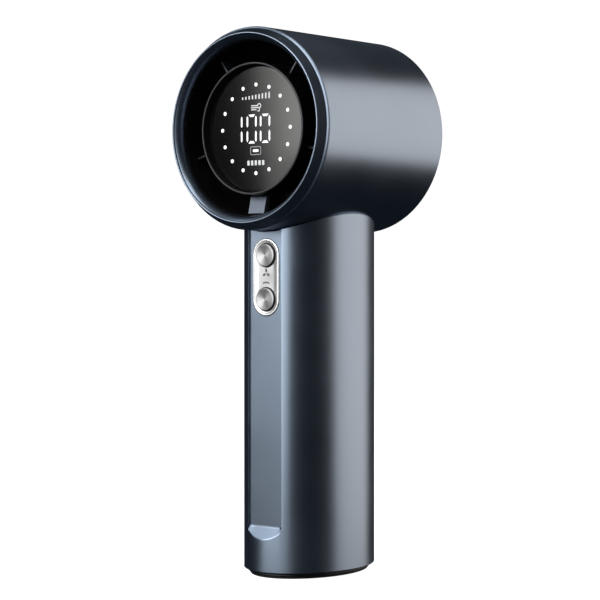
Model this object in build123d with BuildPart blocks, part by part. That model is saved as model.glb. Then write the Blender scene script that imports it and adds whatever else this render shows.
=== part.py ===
from build123d import *

import os
from math import cos, radians, sin, tan

# Hand-held jet blower: a round head lying across the top of an upright oval handle.
# Millimetres. +Z is up, +Y is the way the air leaves, and the display faces -Y. The origin is on
# the plane that the blower stands on, at the centre of the handle.

os.makedirs("parts", exist_ok=True)

# ---------------------------------------------------------------- driving dimensions
slip = 0.05                     # gap between pieces that slide into each other
seam = 0.15                     # visible joint line between outer pieces

cell_radius = 9.2               # 18650 cells, sleeve included
cell_length = 65.0
cell_gap = 0.3                  # between the two cells
cell_margin = 2.95              # free space between a cell and the handle's inner wall
cell_floor = 12.0               # height at which the cells stand
bay_height = 26.2               # electronics bay, from the cells' tops to the head

handle_wall = 1.6
handle_half_width = 17.5        # across, along X
handle_half_depth = cell_gap / 2 + 2 * cell_radius + cell_margin + handle_wall
handle_height = cell_floor + cell_length + bay_height

head_radius = 30.0
head_wall = 1.5
head_length = 56.3
head_overhang = 5.2             # the shell's rear edge stands this far past the handle's surface
head_rear = -(handle_half_depth + head_overhang)
head_front = head_rear + head_length
head_z = handle_height + head_radius
head_inner = head_radius - head_wall

liner_wall = 2.65               # from the shell's inside to the intake's inside
intake_gap = 6.2                # from the display pod to the intake's inside
intake_radius = head_inner - slip - liner_wall
pod_radius = intake_radius - intake_gap
isolator_depth = 6.1            # rubber between the fan housing and the shell
fan_wall = 1.5
fan_outer = head_inner - slip - isolator_depth
fan_bore = fan_outer - fan_wall

screw_radius = 1.0
screw_play = 0.15               # round a screw in its hole
neck_slot = 8.0                 # wire opening from the head into the handle, along X
neck_slot_length = 17.5         # and along Y
neck_slot_y = -1.25
neck_screws_y = [11.0, 16.0]

head_plane = Plane(origin=(0, 0, head_z), x_dir=(0, 1, 0), z_dir=(1, 0, 0))   # draws (y, radius)
head_axis = Axis((0, 0, head_z), (0, 1, 0))


def facing(y, z=0.0):
    """A plane that looks along -Y at depth y: its own x is +X and its own y is +Z."""
    return Plane(origin=(0, y, z), x_dir=(1, 0, 0), z_dir=(0, -1, 0))


# ---------------------------------------------------------------- head: casing
edge_break = 0.35

with BuildPart() as head_shell:
    with BuildSketch(head_plane):
        Polygon(
            (head_rear, head_inner),
            (head_rear, head_radius - edge_break),
            (head_rear + edge_break, head_radius),
            (head_front - edge_break, head_radius),
            (head_front, head_radius - edge_break),
            (head_front, head_inner),
            align=None,
        )
    revolve(axis=head_axis)
    with BuildSketch(Plane.XY.offset(head_z - head_radius - 1)):
        with Locations((0, neck_slot_y)):
            Rectangle(neck_slot, neck_slot_length)
        with Locations([(0, y) for y in neck_screws_y]):
            Circle(screw_radius + screw_play)
    extrude(amount=head_wall + 2, mode=Mode.SUBTRACT)

# Rear bezel: a tapered lip behind the shell, with a collar that slides inside it.
lip_reach = 3.3
lip_taper = 27.0                # degrees from the head's axis
lip_shoulder = 0.36             # length of the shoulder next to the joint line
lip_shoulder_drop = 0.62
lip_land = 0.3
bell_radius = 4.15              # roll of the mouth into the intake
bell_turn = 53.8                # degrees
collar_length = 4.6
collar_wall = 1.25
bezel_seam = head_rear - seam
lip_end = head_rear - lip_reach
throat_start = lip_end + lip_land + bell_radius * sin(radians(bell_turn))
shoulder_end = (bezel_seam - lip_shoulder, head_radius - lip_shoulder_drop)
bell_end = (
    throat_start - bell_radius * sin(radians(bell_turn)),
    intake_radius + bell_radius * (1 - cos(radians(bell_turn))),
)
lip_outer = shoulder_end[1] - (shoulder_end[0] - lip_end - lip_land) * tan(radians(lip_taper))
collar_inner = head_inner - slip - collar_wall

with BuildPart() as intake_bezel:
    with BuildSketch(head_plane):
        with BuildLine():
            Polyline((bezel_seam, head_radius), shoulder_end, (lip_end + lip_land, lip_outer))
            ThreePointArc(
                (lip_end + lip_land, lip_outer),
                (lip_end, (lip_outer + bell_end[1]) / 2),
                bell_end,
            )
            JernArc((throat_start, intake_radius), (-1, 0), bell_radius, -bell_turn)
            Polyline(
                (throat_start, intake_radius),
                (throat_start, collar_inner),
                (head_rear + collar_length, collar_inner),
                (head_rear + collar_length, head_inner - slip),
                (bezel_seam, head_inner - slip),
                (bezel_seam, head_radius),
            )
        make_face()
    revolve(axis=head_axis)

# Outlet ring: a socket that a clip-in nozzle slides into, in front of the fan.
socket_step = 1.2
socket_depth = 6.0
socket_lead = 0.5
outlet_inset = 0.3
outlet_length = 9.1
socket_radius = fan_bore + socket_step
outlet_front = head_front - outlet_inset
outlet_rear = head_front - outlet_inset - outlet_length
outlet_dish = 1.2

with BuildPart() as outlet_ring:
    with BuildSketch(head_plane):
        Polygon(
            (outlet_rear, fan_bore),
            (outlet_rear, head_inner - slip),
            (outlet_front, head_inner - slip),
            (outlet_front, head_inner - slip - outlet_dish),
            (outlet_front - socket_lead, socket_radius + socket_lead),
            (outlet_front - 2 * socket_lead, socket_radius),
            (outlet_front - 2 * socket_lead - socket_depth, socket_radius),
            (outlet_front - 2 * socket_lead - socket_depth, fan_bore),
            align=None,
        )
    revolve(axis=head_axis)

# ---------------------------------------------------------------- head: intake and display pod
liner_front = throat_start + slip              # meets the bezel's inner flange
liner_flange = head_rear + collar_length + slip
fan_length = 29.6
funnel_length = 8.6
strut_setback = 6.2             # from the struts to the fan
strut_recess = 3.3              # from the shell's rear edge to the struts
trim_recess = 0.65
fan_rear = outlet_rear - fan_length                  # rear end of the fan housing
liner_end = fan_rear - seam
funnel_start = liner_end - funnel_length
strut_rear = liner_end - strut_setback
strut_front = head_rear + strut_recess
rib_thickness = 0.7
rib_angles = [54, 126, 198, 342]               # degrees round the head, 90 is up
channel_width = 6.2                            # the wide strut that carries the display's ribbon

trim_front = head_rear + trim_recess
trim_height = 0.8
trim_width = 0.65
trim_inner_bevel = 0.2
trim_outer_bevel = 0.25
lens_bevel = 0.3
pod_front = trim_front + trim_height
lens_recess = 2.1
lens_thickness = 1.5
lens_front = trim_front + lens_recess
lens_radius = pod_radius - trim_width - slip
lens_seat = lens_front + lens_thickness + slip
pod_wall = 2.0
pod_floor = 1.4
pod_inner = pod_radius - pod_wall
pod_rear = strut_rear
ribbon_width = 4.0
ribbon_thickness = 0.3
ribbon_slot = 1.0
ribbon_setback = 2.3
ribbon_play = 0.6               # between the ribbon and the shell
ribbon_slot_width = ribbon_width + 2 * slip + 0.4
ribbon_y = strut_rear - ribbon_setback
ribbon_radius = head_inner - ribbon_play

cover_thickness = 0.5
cover_bevel = 0.15
cover_lean = 1.3                # the cover's top sits deeper than its foot
cover_top_z = head_z - pod_radius - 0.3
cover_foot_z = head_z - intake_radius + 0.7

with BuildPart() as intake_spider:
    with BuildSketch(head_plane):
        Polygon(
            (liner_front, intake_radius),
            (liner_front, collar_inner - slip),
            (liner_flange, collar_inner - slip),
            (liner_flange, head_inner - slip),
            (liner_end, head_inner - slip),
            (liner_end, fan_bore),
            (funnel_start, intake_radius),
            align=None,
        )
        Polygon(
            (pod_front, pod_radius - trim_width),
            (pod_front, pod_radius),
            (pod_rear, pod_radius),
            (pod_rear, 0),
            (pod_rear - pod_floor, 0),
            (pod_rear - pod_floor, pod_inner),
            (lens_seat, pod_inner),
            (lens_seat, pod_radius - trim_width),
            align=None,
        )
    revolve(axis=head_axis)
    strut_inner = pod_radius - pod_wall / 4
    strut_outer = intake_radius + liner_wall / 4
    with BuildSketch(facing(strut_rear, head_z)):
        for angle in rib_angles:
            with Locations(Location((0, 0, 0), (0, 0, angle))):
                with Locations(((strut_inner + strut_outer) / 2, 0)):
                    Rectangle(strut_outer - strut_inner, rib_thickness)
        with Locations((0, -(strut_inner + strut_outer) / 2)):
            Rectangle(channel_width, strut_outer - strut_inner)
    extrude(amount=strut_rear - strut_front)
    with BuildSketch(Plane.YZ.offset(-channel_width / 2)):
        Polygon(
            (strut_front, cover_foot_z),
            (strut_front + cover_lean, cover_top_z),
            (strut_front, cover_top_z),
            align=None,
        )
    extrude(amount=channel_width, mode=Mode.SUBTRACT)
    with BuildSketch(Plane.XY.offset(head_z - head_inner)):
        with Locations((0, ribbon_y)):
            Rectangle(ribbon_slot_width, ribbon_slot)
    extrude(amount=head_inner - pod_inner + pod_wall, mode=Mode.SUBTRACT)
    with BuildSketch(facing(liner_end, head_z - head_inner)):
        Rectangle(ribbon_slot_width, 4 * ribbon_play)
    extrude(amount=liner_end - ribbon_y + ribbon_slot / 2, mode=Mode.SUBTRACT)

with BuildPart() as strut_cover:
    with BuildSketch(Plane.YZ.offset(-channel_width / 2)):
        Polygon(
            (strut_front, cover_foot_z),
            (strut_front - cover_thickness, cover_foot_z),
            (strut_front - cover_thickness + cover_lean, cover_top_z),
            (strut_front + cover_lean, cover_top_z),
            align=None,
        )
    extrude(amount=channel_width)
    chamfer(strut_cover.faces().sort_by(Axis.Y)[0].edges().filter_by(Axis.X, reverse=True), cover_bevel)

with BuildPart() as display_trim:
    with BuildSketch(head_plane):
        Polygon(
            (pod_front, pod_radius - trim_width),
            (trim_front + trim_inner_bevel, pod_radius - trim_width),
            (trim_front, pod_radius - trim_width + trim_inner_bevel),
            (trim_front, pod_radius - trim_outer_bevel),
            (trim_front + trim_outer_bevel, pod_radius),
            (pod_front, pod_radius),
            align=None,
        )
    revolve(axis=head_axis)

with BuildPart() as display_lens:
    with BuildSketch(facing(lens_front + lens_thickness, head_z)):
        Circle(lens_radius)
    extrude(amount=lens_thickness)
    chamfer(display_lens.faces().sort_by(Axis.Y)[0].edges(), lens_bevel)

# Lit symbols: a ring of dots, a three-digit read-out, a breeze sign, a battery sign and two scales.
dot_margin = 5.75
dot_radius = 0.6
dot_count = 16
dot_ring = lens_radius - dot_margin
symbol_height = 0.06
digit_half = 4.2
bar_width = 0.85
bar_length = 3.3
digit_columns = [-5.15, -3.2, 0.1, 1.9, 5.15]  # x of the upright bars of 1, 0 and 0
cap_columns = [-1.55, 3.53]                    # x of the two zeros' caps
cap_width = 2.3
breeze_z = 6.3
scale_z = 9.6
scale_bars = 9
scale_pitch = 1.25
battery_z = -6.5
charge_z = -10.0
charge_dashes = 5
charge_pitch = 1.35

with BuildPart() as display_symbols:
    with BuildSketch(facing(lens_front, head_z)):
        with PolarLocations(dot_ring, dot_count):
            Circle(dot_radius)
        for x in digit_columns:
            with Locations((x, digit_half / 2 - 0.05), (x, -digit_half / 2 + 0.05)):
                SlotOverall(bar_length, bar_width * 0.9, rotation=90)
        for x in cap_columns:
            with Locations((x, digit_half)):
                Trapezoid(cap_width, 0.7, 60, rotation=180)
            with Locations((x, -digit_half)):
                Trapezoid(cap_width, 0.7, 60)
        with Locations((-0.3, breeze_z + 0.85), (0.1, breeze_z + 0.1), (-0.5, breeze_z - 0.65)):
            SlotOverall(3.0, 0.42)
        with Locations((1.55, breeze_z + 0.75), (1.9, breeze_z - 0.35)):
            Circle(0.62)
        for i in range(scale_bars):
            with Locations(((i - (scale_bars - 1) / 2) * scale_pitch, scale_z - 0.9)):
                Rectangle(0.55, 0.7 + 0.15 * i, align=(Align.CENTER, Align.MIN))
        with Locations((0, battery_z)):
            RectangleRounded(4.2, 2.4, 0.6)
            RectangleRounded(3.4, 1.6, 0.35, mode=Mode.SUBTRACT)
            SlotOverall(2.4, 0.8)
        for i in range(charge_dashes):
            with Locations(((i - (charge_dashes - 1) / 2) * charge_pitch, charge_z)):
                Rectangle(0.85, 1.5)
    extrude(amount=symbol_height)

mask_thickness = 2.4
mask_front = lens_seat
mask_radius = pod_inner - slip
board_thickness = 1.2
window_width = 13.6
window_height = 10.0
with BuildPart() as light_mask:
    with BuildSketch(facing(mask_front + mask_thickness, head_z)):
        Circle(mask_radius)
        with PolarLocations(dot_ring, dot_count):
            Circle(dot_radius + 3 * slip, mode=Mode.SUBTRACT)
        Rectangle(window_width, window_height, mode=Mode.SUBTRACT)
    extrude(amount=mask_thickness)

display_board_front = mask_front + mask_thickness
with BuildPart() as display_board:
    with BuildSketch(facing(display_board_front + board_thickness, head_z)):
        Circle(mask_radius)
    extrude(amount=board_thickness)
    with BuildSketch(facing(display_board_front + board_thickness, head_z)):
        with Locations((0, -(pod_inner - 4.0))):
            Rectangle(ribbon_width + 2.0, 2.6)
    extrude(amount=-0.55)

with BuildPart() as display_leds:
    with BuildSketch(facing(display_board_front, head_z)):
        with PolarLocations(dot_ring, dot_count):
            Rectangle(0.8, 0.8)
    extrude(amount=0.5)
    with BuildSketch(facing(display_board_front, head_z)):
        Rectangle(window_width - 0.6, window_height - 0.6)
    extrude(amount=1.7)

# Tail of the display pod: a smooth cone that leads the air on to the fan.
tail_length = 6.4
tail_tip = 5.0
tail_wall = 1.2
with BuildPart() as pod_tail:
    with BuildSketch(head_plane):
        with BuildLine():
            Line((pod_rear, 0), (pod_rear, pod_radius))
            Spline(
                (pod_rear, pod_radius),
                (pod_rear + tail_length * 0.75, pod_radius * 0.62),
                (pod_rear + tail_length, tail_tip),
                tangents=((1, -0.15), (0.1, -1)),
            )
            Line((pod_rear + tail_length, tail_tip), (pod_rear + tail_length, 0))
            Line((pod_rear + tail_length, 0), (pod_rear, 0))
        make_face()
    revolve(axis=head_axis)
    with BuildSketch(head_plane):
        Polygon(
            (pod_rear, 0),
            (pod_rear, pod_radius - 3 * tail_wall),
            (pod_rear + tail_length * 0.55, pod_radius * 0.5),
            (pod_rear + tail_length - tail_wall, 0),
            align=None,
        )
    revolve(axis=head_axis, mode=Mode.SUBTRACT)


# ---------------------------------------------------------------- head: fan and motor
tip_gap = 0.4
fan_front = outlet_rear - slip
blade_gap = 0.8                 # between the impeller and what stands still
impeller_length = 11.5
impeller_rear = pod_rear + tail_length + blade_gap
impeller_front = impeller_rear + impeller_length
hub_radius = 10.4
hub_nose = 4.6
hub_wall = 1.6
blade_count = 9
blade_thickness = 0.9
blade_chord = 9.6
blade_root = 6.5
root_pitch = 38.0               # degrees from the axis
tip_pitch = 56.0
blade_tip = fan_bore - tip_gap
blade_setback = 5.1
blade_centre = impeller_front - blade_setback

shaft_radius = 1.5
bearing_radius = 3.5
bearing_width = 2.5
race_inner = 2.08
race_outer = 2.92
ball_radius = 0.38
ball_count = 8
magnet_radius = 4.6
air_gap = 0.35
stator_outer = 10.2
stator_teeth = 6
barrel_wall = 1.2
barrel_outer = stator_outer + slip + barrel_wall
barrel_rear = impeller_front + blade_gap
barrel_setback = 2.0
barrel_front = fan_front - barrel_setback
bearing_cover = 0.4
rear_coil_room = 2.4
front_coil_room = 1.9
end_plate = bearing_width + bearing_cover
stator_rear = barrel_rear + end_plate + rear_coil_room
stator_front = barrel_front - end_plate - front_coil_room
vane_count = 8
vane_thickness = 0.9
vane_rear_inset = 1.2
vane_front_inset = 1.8
lead_inset = 1.6
vane_rear = barrel_rear + vane_rear_inset
vane_front = barrel_front - vane_front_inset
lead_slot_y = vane_rear + lead_inset
lead_x = vane_thickness * 2.6
lead_slot = 3.6

with BuildPart() as fan_housing:
    with BuildSketch(head_plane):
        Polygon(
            (fan_rear, fan_bore), (fan_rear, fan_outer), (fan_front, fan_outer), (fan_front, fan_bore),
            align=None,
        )
        Polygon(
            (barrel_rear, bearing_radius),
            (barrel_rear, barrel_outer),
            (barrel_front, barrel_outer),
            (barrel_front, stator_outer + slip),
            (barrel_rear + end_plate, stator_outer + slip),
            (barrel_rear + end_plate, bearing_radius),
            align=None,
        )
    revolve(axis=head_axis)
    with BuildSketch(facing(vane_front, head_z)):
        with PolarLocations((barrel_outer + fan_bore) / 2, vane_count, start_angle=90):
            Rectangle(fan_bore - barrel_outer + 0.8, vane_thickness)
    extrude(amount=vane_front - vane_rear)
    with BuildSketch(Plane.XY.offset(head_z - fan_outer - 1)):
        with Locations((lead_x, lead_slot_y)):
            Rectangle(lead_slot, lead_slot)
    extrude(amount=fan_outer - stator_outer + 1.4, mode=Mode.SUBTRACT)

cap_crown = 2.9
with BuildPart() as motor_cap:
    with BuildSketch(head_plane):
        with BuildLine():
            Polyline(
                (barrel_front - end_plate, bearing_radius),
                (barrel_front - end_plate, stator_outer),
                (barrel_front + slip, stator_outer),
                (barrel_front + slip, barrel_outer),
            )
            TangentArc(
                (barrel_front + cap_crown, 0), (barrel_front + slip, barrel_outer), tangent=(0, 1)
            )
            Polyline(
                (barrel_front + cap_crown, 0),
                (barrel_front + 0.9, 0),
                (barrel_front + 0.9, race_outer),
                (barrel_front - 0.2, race_outer),
                (barrel_front - 0.2, bearing_radius),
                (barrel_front - end_plate, bearing_radius),
            )
        make_face()
    revolve(axis=head_axis)

bearing_inset = 0.2
rear_bearing = barrel_rear + bearing_inset
front_bearing = barrel_front - bearing_inset - bearing_width

with BuildPart() as bearing_outer_races:
    for y in (rear_bearing, front_bearing):
        with BuildSketch(head_plane):
            Polygon(
                (y, race_outer), (y, bearing_radius),
                (y + bearing_width, bearing_radius), (y + bearing_width, race_outer),
                align=None,
            )
        revolve(axis=head_axis)

with BuildPart() as bearing_inner_races:
    for y in (rear_bearing, front_bearing):
        with BuildSketch(head_plane):
            Polygon(
                (y, shaft_radius), (y, race_inner),
                (y + bearing_width, race_inner), (y + bearing_width, shaft_radius),
                align=None,
            )
        revolve(axis=head_axis)

with BuildPart() as bearing_balls:
    for y in (rear_bearing, front_bearing):
        with Locations(facing(y + bearing_width / 2, head_z)):
            with PolarLocations((race_inner + race_outer) / 2, ball_count):
                Sphere(ball_radius)

shaft_inset = 2.4
shaft_rear = impeller_rear + shaft_inset
shaft_front = barrel_front + 0.5
with BuildPart() as motor_shaft:
    with BuildSketch(facing(shaft_front, head_z)):
        Circle(shaft_radius)
    extrude(amount=shaft_front - shaft_rear)
    chamfer(motor_shaft.faces().sort_by(Axis.Y)[-1].edges(), 0.2)

with BuildPart() as rotor_magnet:
    with BuildSketch(facing(stator_front, head_z)):
        Circle(magnet_radius)
        Circle(shaft_radius, mode=Mode.SUBTRACT)
    extrude(amount=stator_front - stator_rear)

tooth_width = 2.4
tooth_root = 8.6
shoe_width = 3.6
shoe_height = 0.9
with BuildPart() as stator_core:
    with BuildSketch(facing(stator_front, head_z)):
        Circle(stator_outer)
        Circle(tooth_root, mode=Mode.SUBTRACT)
        with PolarLocations((tooth_root + magnet_radius + air_gap) / 2 + 0.1, stator_teeth):
            Rectangle(tooth_root - magnet_radius - air_gap + 0.2, tooth_width)
        with PolarLocations(magnet_radius + air_gap + shoe_height / 2, stator_teeth):
            Rectangle(shoe_height, shoe_width)
        Circle(magnet_radius + air_gap, mode=Mode.SUBTRACT)
    extrude(amount=stator_front - stator_rear)

coil_build = 0.75
coil_play = 0.3
coil_inner = magnet_radius + air_gap + shoe_height + coil_play
coil_outer = tooth_root - coil_play
with BuildPart() as stator_coils:
    for i in range(stator_teeth):
        angle = i * 360 / stator_teeth
        spoke = Plane(
            origin=(coil_inner * cos(radians(angle)), (stator_rear + stator_front) / 2,
                    head_z + coil_inner * sin(radians(angle))),
            x_dir=(0, 1, 0),
            z_dir=(cos(radians(angle)), 0, sin(radians(angle))),
        )
        with BuildSketch(spoke):
            core = stator_front - stator_rear + 2 * slip
            RectangleRounded(core + 2 * coil_build, tooth_width + 2 * slip + 2 * coil_build, coil_build)
            Rectangle(core, tooth_width + 2 * slip, mode=Mode.SUBTRACT)
        extrude(amount=coil_outer - coil_inner)

with BuildPart() as blade_blank:
    for radius, pitch in ((blade_root, root_pitch), (fan_bore + 2, tip_pitch)):
        span = Plane(origin=(0, blade_centre, head_z + radius), x_dir=(0, 1, 0), z_dir=(0, 0, 1))
        with BuildSketch(span):
            Rectangle(blade_chord * cos(radians(pitch)) / cos(radians(root_pitch)), blade_thickness,
                      rotation=pitch)
    loft()

with BuildPart() as impeller:
    for i in range(blade_count):
        add(blade_blank.part.rotate(head_axis, i * 360 / blade_count))
    with BuildSketch(facing(impeller_front - 0.3, head_z)):
        Circle(blade_tip)
    extrude(amount=impeller_front - impeller_rear - 1.0, mode=Mode.INTERSECT)
    with BuildSketch(head_plane):
        with BuildLine():
            Line((impeller_rear, 0), (impeller_rear, hub_nose * 0.6))
            ThreePointArc(
                (impeller_rear, hub_nose * 0.6),
                (impeller_rear + 2.6, hub_radius * 0.74),
                (impeller_rear + 7.4, hub_radius),
            )
            Polyline(
                (impeller_rear + 7.4, hub_radius),
                (impeller_front, hub_radius),
                (impeller_front, 0),
                (impeller_rear, 0),
            )
        make_face()
    revolve(axis=head_axis)
    with BuildSketch(head_plane):
        Polygon(
            (impeller_front, shaft_radius + 2 * hub_wall),
            (impeller_front, hub_radius - hub_wall),
            (impeller_rear + 6.6, hub_radius - hub_wall),
            (impeller_rear + 4.4, shaft_radius + 2 * hub_wall),
            align=None,
        )
        Polygon(
            (shaft_rear, 0), (shaft_rear, shaft_radius), (impeller_front, shaft_radius), (impeller_front, 0),
            align=None,
        )
    revolve(axis=head_axis, mode=Mode.SUBTRACT)

isolator_width = 4.0
isolator_rear_inset = 1.2
isolator_front_inset = 1.6
isolator_rear = fan_rear + isolator_rear_inset
isolator_front = fan_front - isolator_width - isolator_front_inset
notch_width = 9.0


def isolator(y):
    """A rubber ring that starts at depth y, notched underneath for the wires."""
    with BuildPart() as ring:
        with BuildSketch(facing(y + isolator_width, head_z)):
            Circle(head_inner - slip)
            Circle(fan_outer + slip, mode=Mode.SUBTRACT)
            with Locations((0, -(head_inner + fan_outer) / 2)):
                Rectangle(notch_width, 2 * isolator_depth, mode=Mode.SUBTRACT)
        extrude(amount=isolator_width)
    return ring


rear_isolator = isolator(isolator_rear)
front_isolator = isolator(isolator_front)

guard_inset = 0.3
guard_rear = outlet_rear + guard_inset
guard_thickness = 1.2
guard_spokes = 6
guard_bar = 0.8
guard_rings = [barrel_outer + 1.2, (barrel_outer + fan_bore) / 2 + 0.4, fan_bore - slip - guard_bar / 2]
with BuildPart() as outlet_guard:
    with BuildSketch(facing(guard_rear + guard_thickness, head_z)):
        for radius in guard_rings:
            Circle(radius + guard_bar / 2)
            Circle(radius - guard_bar / 2, mode=Mode.SUBTRACT)
        with PolarLocations((guard_rings[0] + guard_rings[2]) / 2, guard_spokes):
            Rectangle(guard_rings[2] - guard_rings[0], guard_bar)
    extrude(amount=guard_thickness)

# ---------------------------------------------------------------- handle: sleeve
base_gap = 1.7                  # height of the base below the sleeve
bottom_break = 0.3
saddle_break = 0.3
flat_depth = 2.4                # thumb panel below the sleeve's front
flat_half_width = 6.35
flat_y = -(handle_half_depth - flat_depth)
flat_wall = 1.3
flat_end = 15.0                 # where the flat stops and the ramp out starts
ramp_height = 3.4
panel_corner = 4.0
flat_inner = flat_y + flat_wall
sleeve_inner_x = handle_half_width - handle_wall
sleeve_inner_y = handle_half_depth - handle_wall

capsule_width = 9.9
capsule_height = 22.95
capsule_rise = 12.3             # from the cells' tops to the middle of the buttons
capsule_z = cell_floor + cell_length + capsule_rise
capsule_gap = 0.15

usb_width = 8.94
usb_height = 3.2
usb_depth = 7.35
usb_wall = 0.3
usb_corner = 1.2
charge_board_rise = 2.3
charge_board_z = base_gap + charge_board_rise
charge_board_thickness = 1.0
usb_z = charge_board_z + charge_board_thickness + usb_height / 2

with BuildPart() as panel_cut:
    with BuildSketch(Plane.YZ.offset(-flat_half_width)):
        Polygon(
            (flat_y, handle_height + head_radius),
            (flat_y, flat_end),
            (flat_y - flat_depth - 0.6, flat_end - ramp_height * (flat_depth + 0.6) / flat_depth),
            (flat_y - flat_depth - 6, flat_end - ramp_height * (flat_depth + 0.6) / flat_depth),
            (flat_y - flat_depth - 6, handle_height + head_radius),
            align=None,
        )
    extrude(amount=2 * flat_half_width)
    with BuildSketch(facing(0)):
        with BuildLine():
            FilletPolyline(
                (-flat_half_width, handle_height + head_radius),
                (-flat_half_width, flat_end - ramp_height),
                (flat_half_width, flat_end - ramp_height),
                (flat_half_width, handle_height + head_radius),
                radius=panel_corner,
            )
            Line(
                (flat_half_width, handle_height + head_radius),
                (-flat_half_width, handle_height + head_radius),
            )
        make_face()
    extrude(amount=2 * handle_half_depth, mode=Mode.INTERSECT)

with BuildPart() as handle_shell:
    with BuildSketch(Plane.XY.offset(base_gap)):
        Ellipse(handle_half_width, handle_half_depth)
    extrude(amount=handle_height + 8 - base_gap)
    chamfer(handle_shell.faces().sort_by(Axis.Z)[0].edges(), bottom_break)
    with BuildSketch(Plane.XY.offset(base_gap)):
        Ellipse(sleeve_inner_x, sleeve_inner_y)
    extrude(amount=handle_height + 10, mode=Mode.SUBTRACT)
    with BuildSketch(Plane.XY.offset(flat_end - ramp_height - 3)):
        Ellipse(handle_half_width - handle_wall / 2, handle_half_depth - handle_wall / 2)
        with Locations((0, flat_inner)):
            Rectangle(3 * handle_half_width, 3 * handle_half_depth, align=(Align.CENTER, Align.MIN),
                      mode=Mode.SUBTRACT)
    extrude(amount=handle_height + 8 - (flat_end - ramp_height - 3))
    add(panel_cut.part, mode=Mode.SUBTRACT)
    with BuildSketch(facing(handle_half_depth + head_radius, head_z)):
        Circle(head_radius + seam)
    extrude(amount=2 * (handle_half_depth + head_radius), mode=Mode.SUBTRACT)
    saddle_edges = handle_shell.edges().sort_by(Axis.Z)[-2:]
    chamfer(saddle_edges, saddle_break)
    with BuildSketch(facing(flat_inner + 3, capsule_z)):
        SlotOverall(capsule_height + 2 * capsule_gap, capsule_width + 2 * capsule_gap, rotation=90)
    extrude(amount=8, mode=Mode.SUBTRACT)
    with BuildSketch(facing(handle_half_depth + 1, usb_z)):
        RectangleRounded(usb_width + 2 * seam, usb_height + 2 * seam, usb_corner + seam)
    extrude(amount=4, mode=Mode.SUBTRACT)

# ---------------------------------------------------------------- handle: button capsule
ring_wall = 0.65
ring_proud = 0.3
ring_front = flat_y - ring_proud
plate_front = flat_y
plate_thickness = 1.2
plate_rear = plate_front + plate_thickness
button_radius = 3.52
button_gap = 0.12
button_pitch = 13.1
button_proud = 0.85
button_travel = 0.6
flange_radius = 3.95
flange_thickness = 0.6
flange_front = plate_rear + slip
stem_radius = 1.0
switch_size = 5.2
switch_height = 2.0
plunger_radius = 1.1
plunger_height = 0.6
stem_length = 0.7
stem_end = flange_front + flange_thickness + stem_length
plunger_tip = stem_end + button_travel + slip
button_board_front = plunger_tip + plunger_height + switch_height
button_board_thickness = 1.0
button_board_rear = button_board_front + button_board_thickness
ring_rear = button_board_rear

ring_fillet = 0.25

with BuildPart() as button_bezel:
    with BuildSketch(facing(ring_rear, capsule_z)):
        SlotOverall(capsule_height, capsule_width, rotation=90)
        SlotOverall(capsule_height - 2 * ring_wall, capsule_width - 2 * ring_wall, rotation=90,
                    mode=Mode.SUBTRACT)
    extrude(amount=ring_rear - ring_front)
    fillet(button_bezel.faces().sort_by(Axis.Y)[0].edges(), ring_fillet)

with BuildPart() as button_plate:
    with BuildSketch(facing(plate_rear, capsule_z)):
        SlotOverall(capsule_height - 2 * ring_wall - 2 * slip, capsule_width - 2 * ring_wall - 2 * slip,
                    rotation=90)
        with GridLocations(0, button_pitch, 1, 2):
            Circle(button_radius + button_gap, mode=Mode.SUBTRACT)
    extrude(amount=plate_thickness)

dish_depth = 0.22

button_bevel = 0.3
button_front = plate_front - button_proud


def button(z):
    """A spun metal button centred at height z, with its flange and stem."""
    with BuildPart() as cap:
        axis_plane = Plane(origin=(0, 0, z), x_dir=(0, 1, 0), z_dir=(1, 0, 0))
        with BuildSketch(axis_plane):
            Polygon(
                (button_front + dish_depth, 0),
                (button_front, button_radius - button_bevel),
                (button_front + button_bevel, button_radius),
                (flange_front, button_radius),
                (flange_front, flange_radius),
                (flange_front + flange_thickness, flange_radius),
                (flange_front + flange_thickness, stem_radius),
                (stem_end, stem_radius),
                (stem_end, 0),
                align=None,
            )
        revolve(axis=Axis((0, 0, z), (0, 1, 0)))
    return cap


upper_button = button(capsule_z + button_pitch / 2)
lower_button = button(capsule_z - button_pitch / 2)

icon_height = 0.05
icon_up = 1.2
icon_down = -1.5
bow_radius = 2.4
bow_turn = 62               # degrees
with BuildPart() as button_icons:
    with BuildSketch(facing(plate_front, capsule_z + icon_up)):
        with PolarLocations(0.85, 3, start_angle=90):
            Ellipse(0.62, 0.4)
    extrude(amount=icon_height)
    with BuildSketch(facing(plate_front, capsule_z + icon_down)):
        with BuildLine() as bow:
            CenterArc((0, -bow_radius), bow_radius, 90 - bow_turn / 2, bow_turn)
        trace(bow.line, 0.42)
    extrude(amount=icon_height)

with BuildPart() as button_board:
    with BuildSketch(facing(button_board_rear, capsule_z)):
        SlotOverall(capsule_height - 2 * ring_wall - 2 * slip, capsule_width - 2 * ring_wall - 2 * slip,
                    rotation=90)
    extrude(amount=button_board_thickness)

with BuildPart() as tact_switches:
    with BuildSketch(facing(button_board_front, capsule_z)):
        with GridLocations(0, button_pitch, 1, 2):
            Rectangle(switch_size, switch_size)
    extrude(amount=switch_height)
    with BuildSketch(facing(button_board_front - switch_height, capsule_z)):
        with GridLocations(0, button_pitch, 1, 2):
            Circle(plunger_radius)
    extrude(amount=plunger_height)

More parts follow.
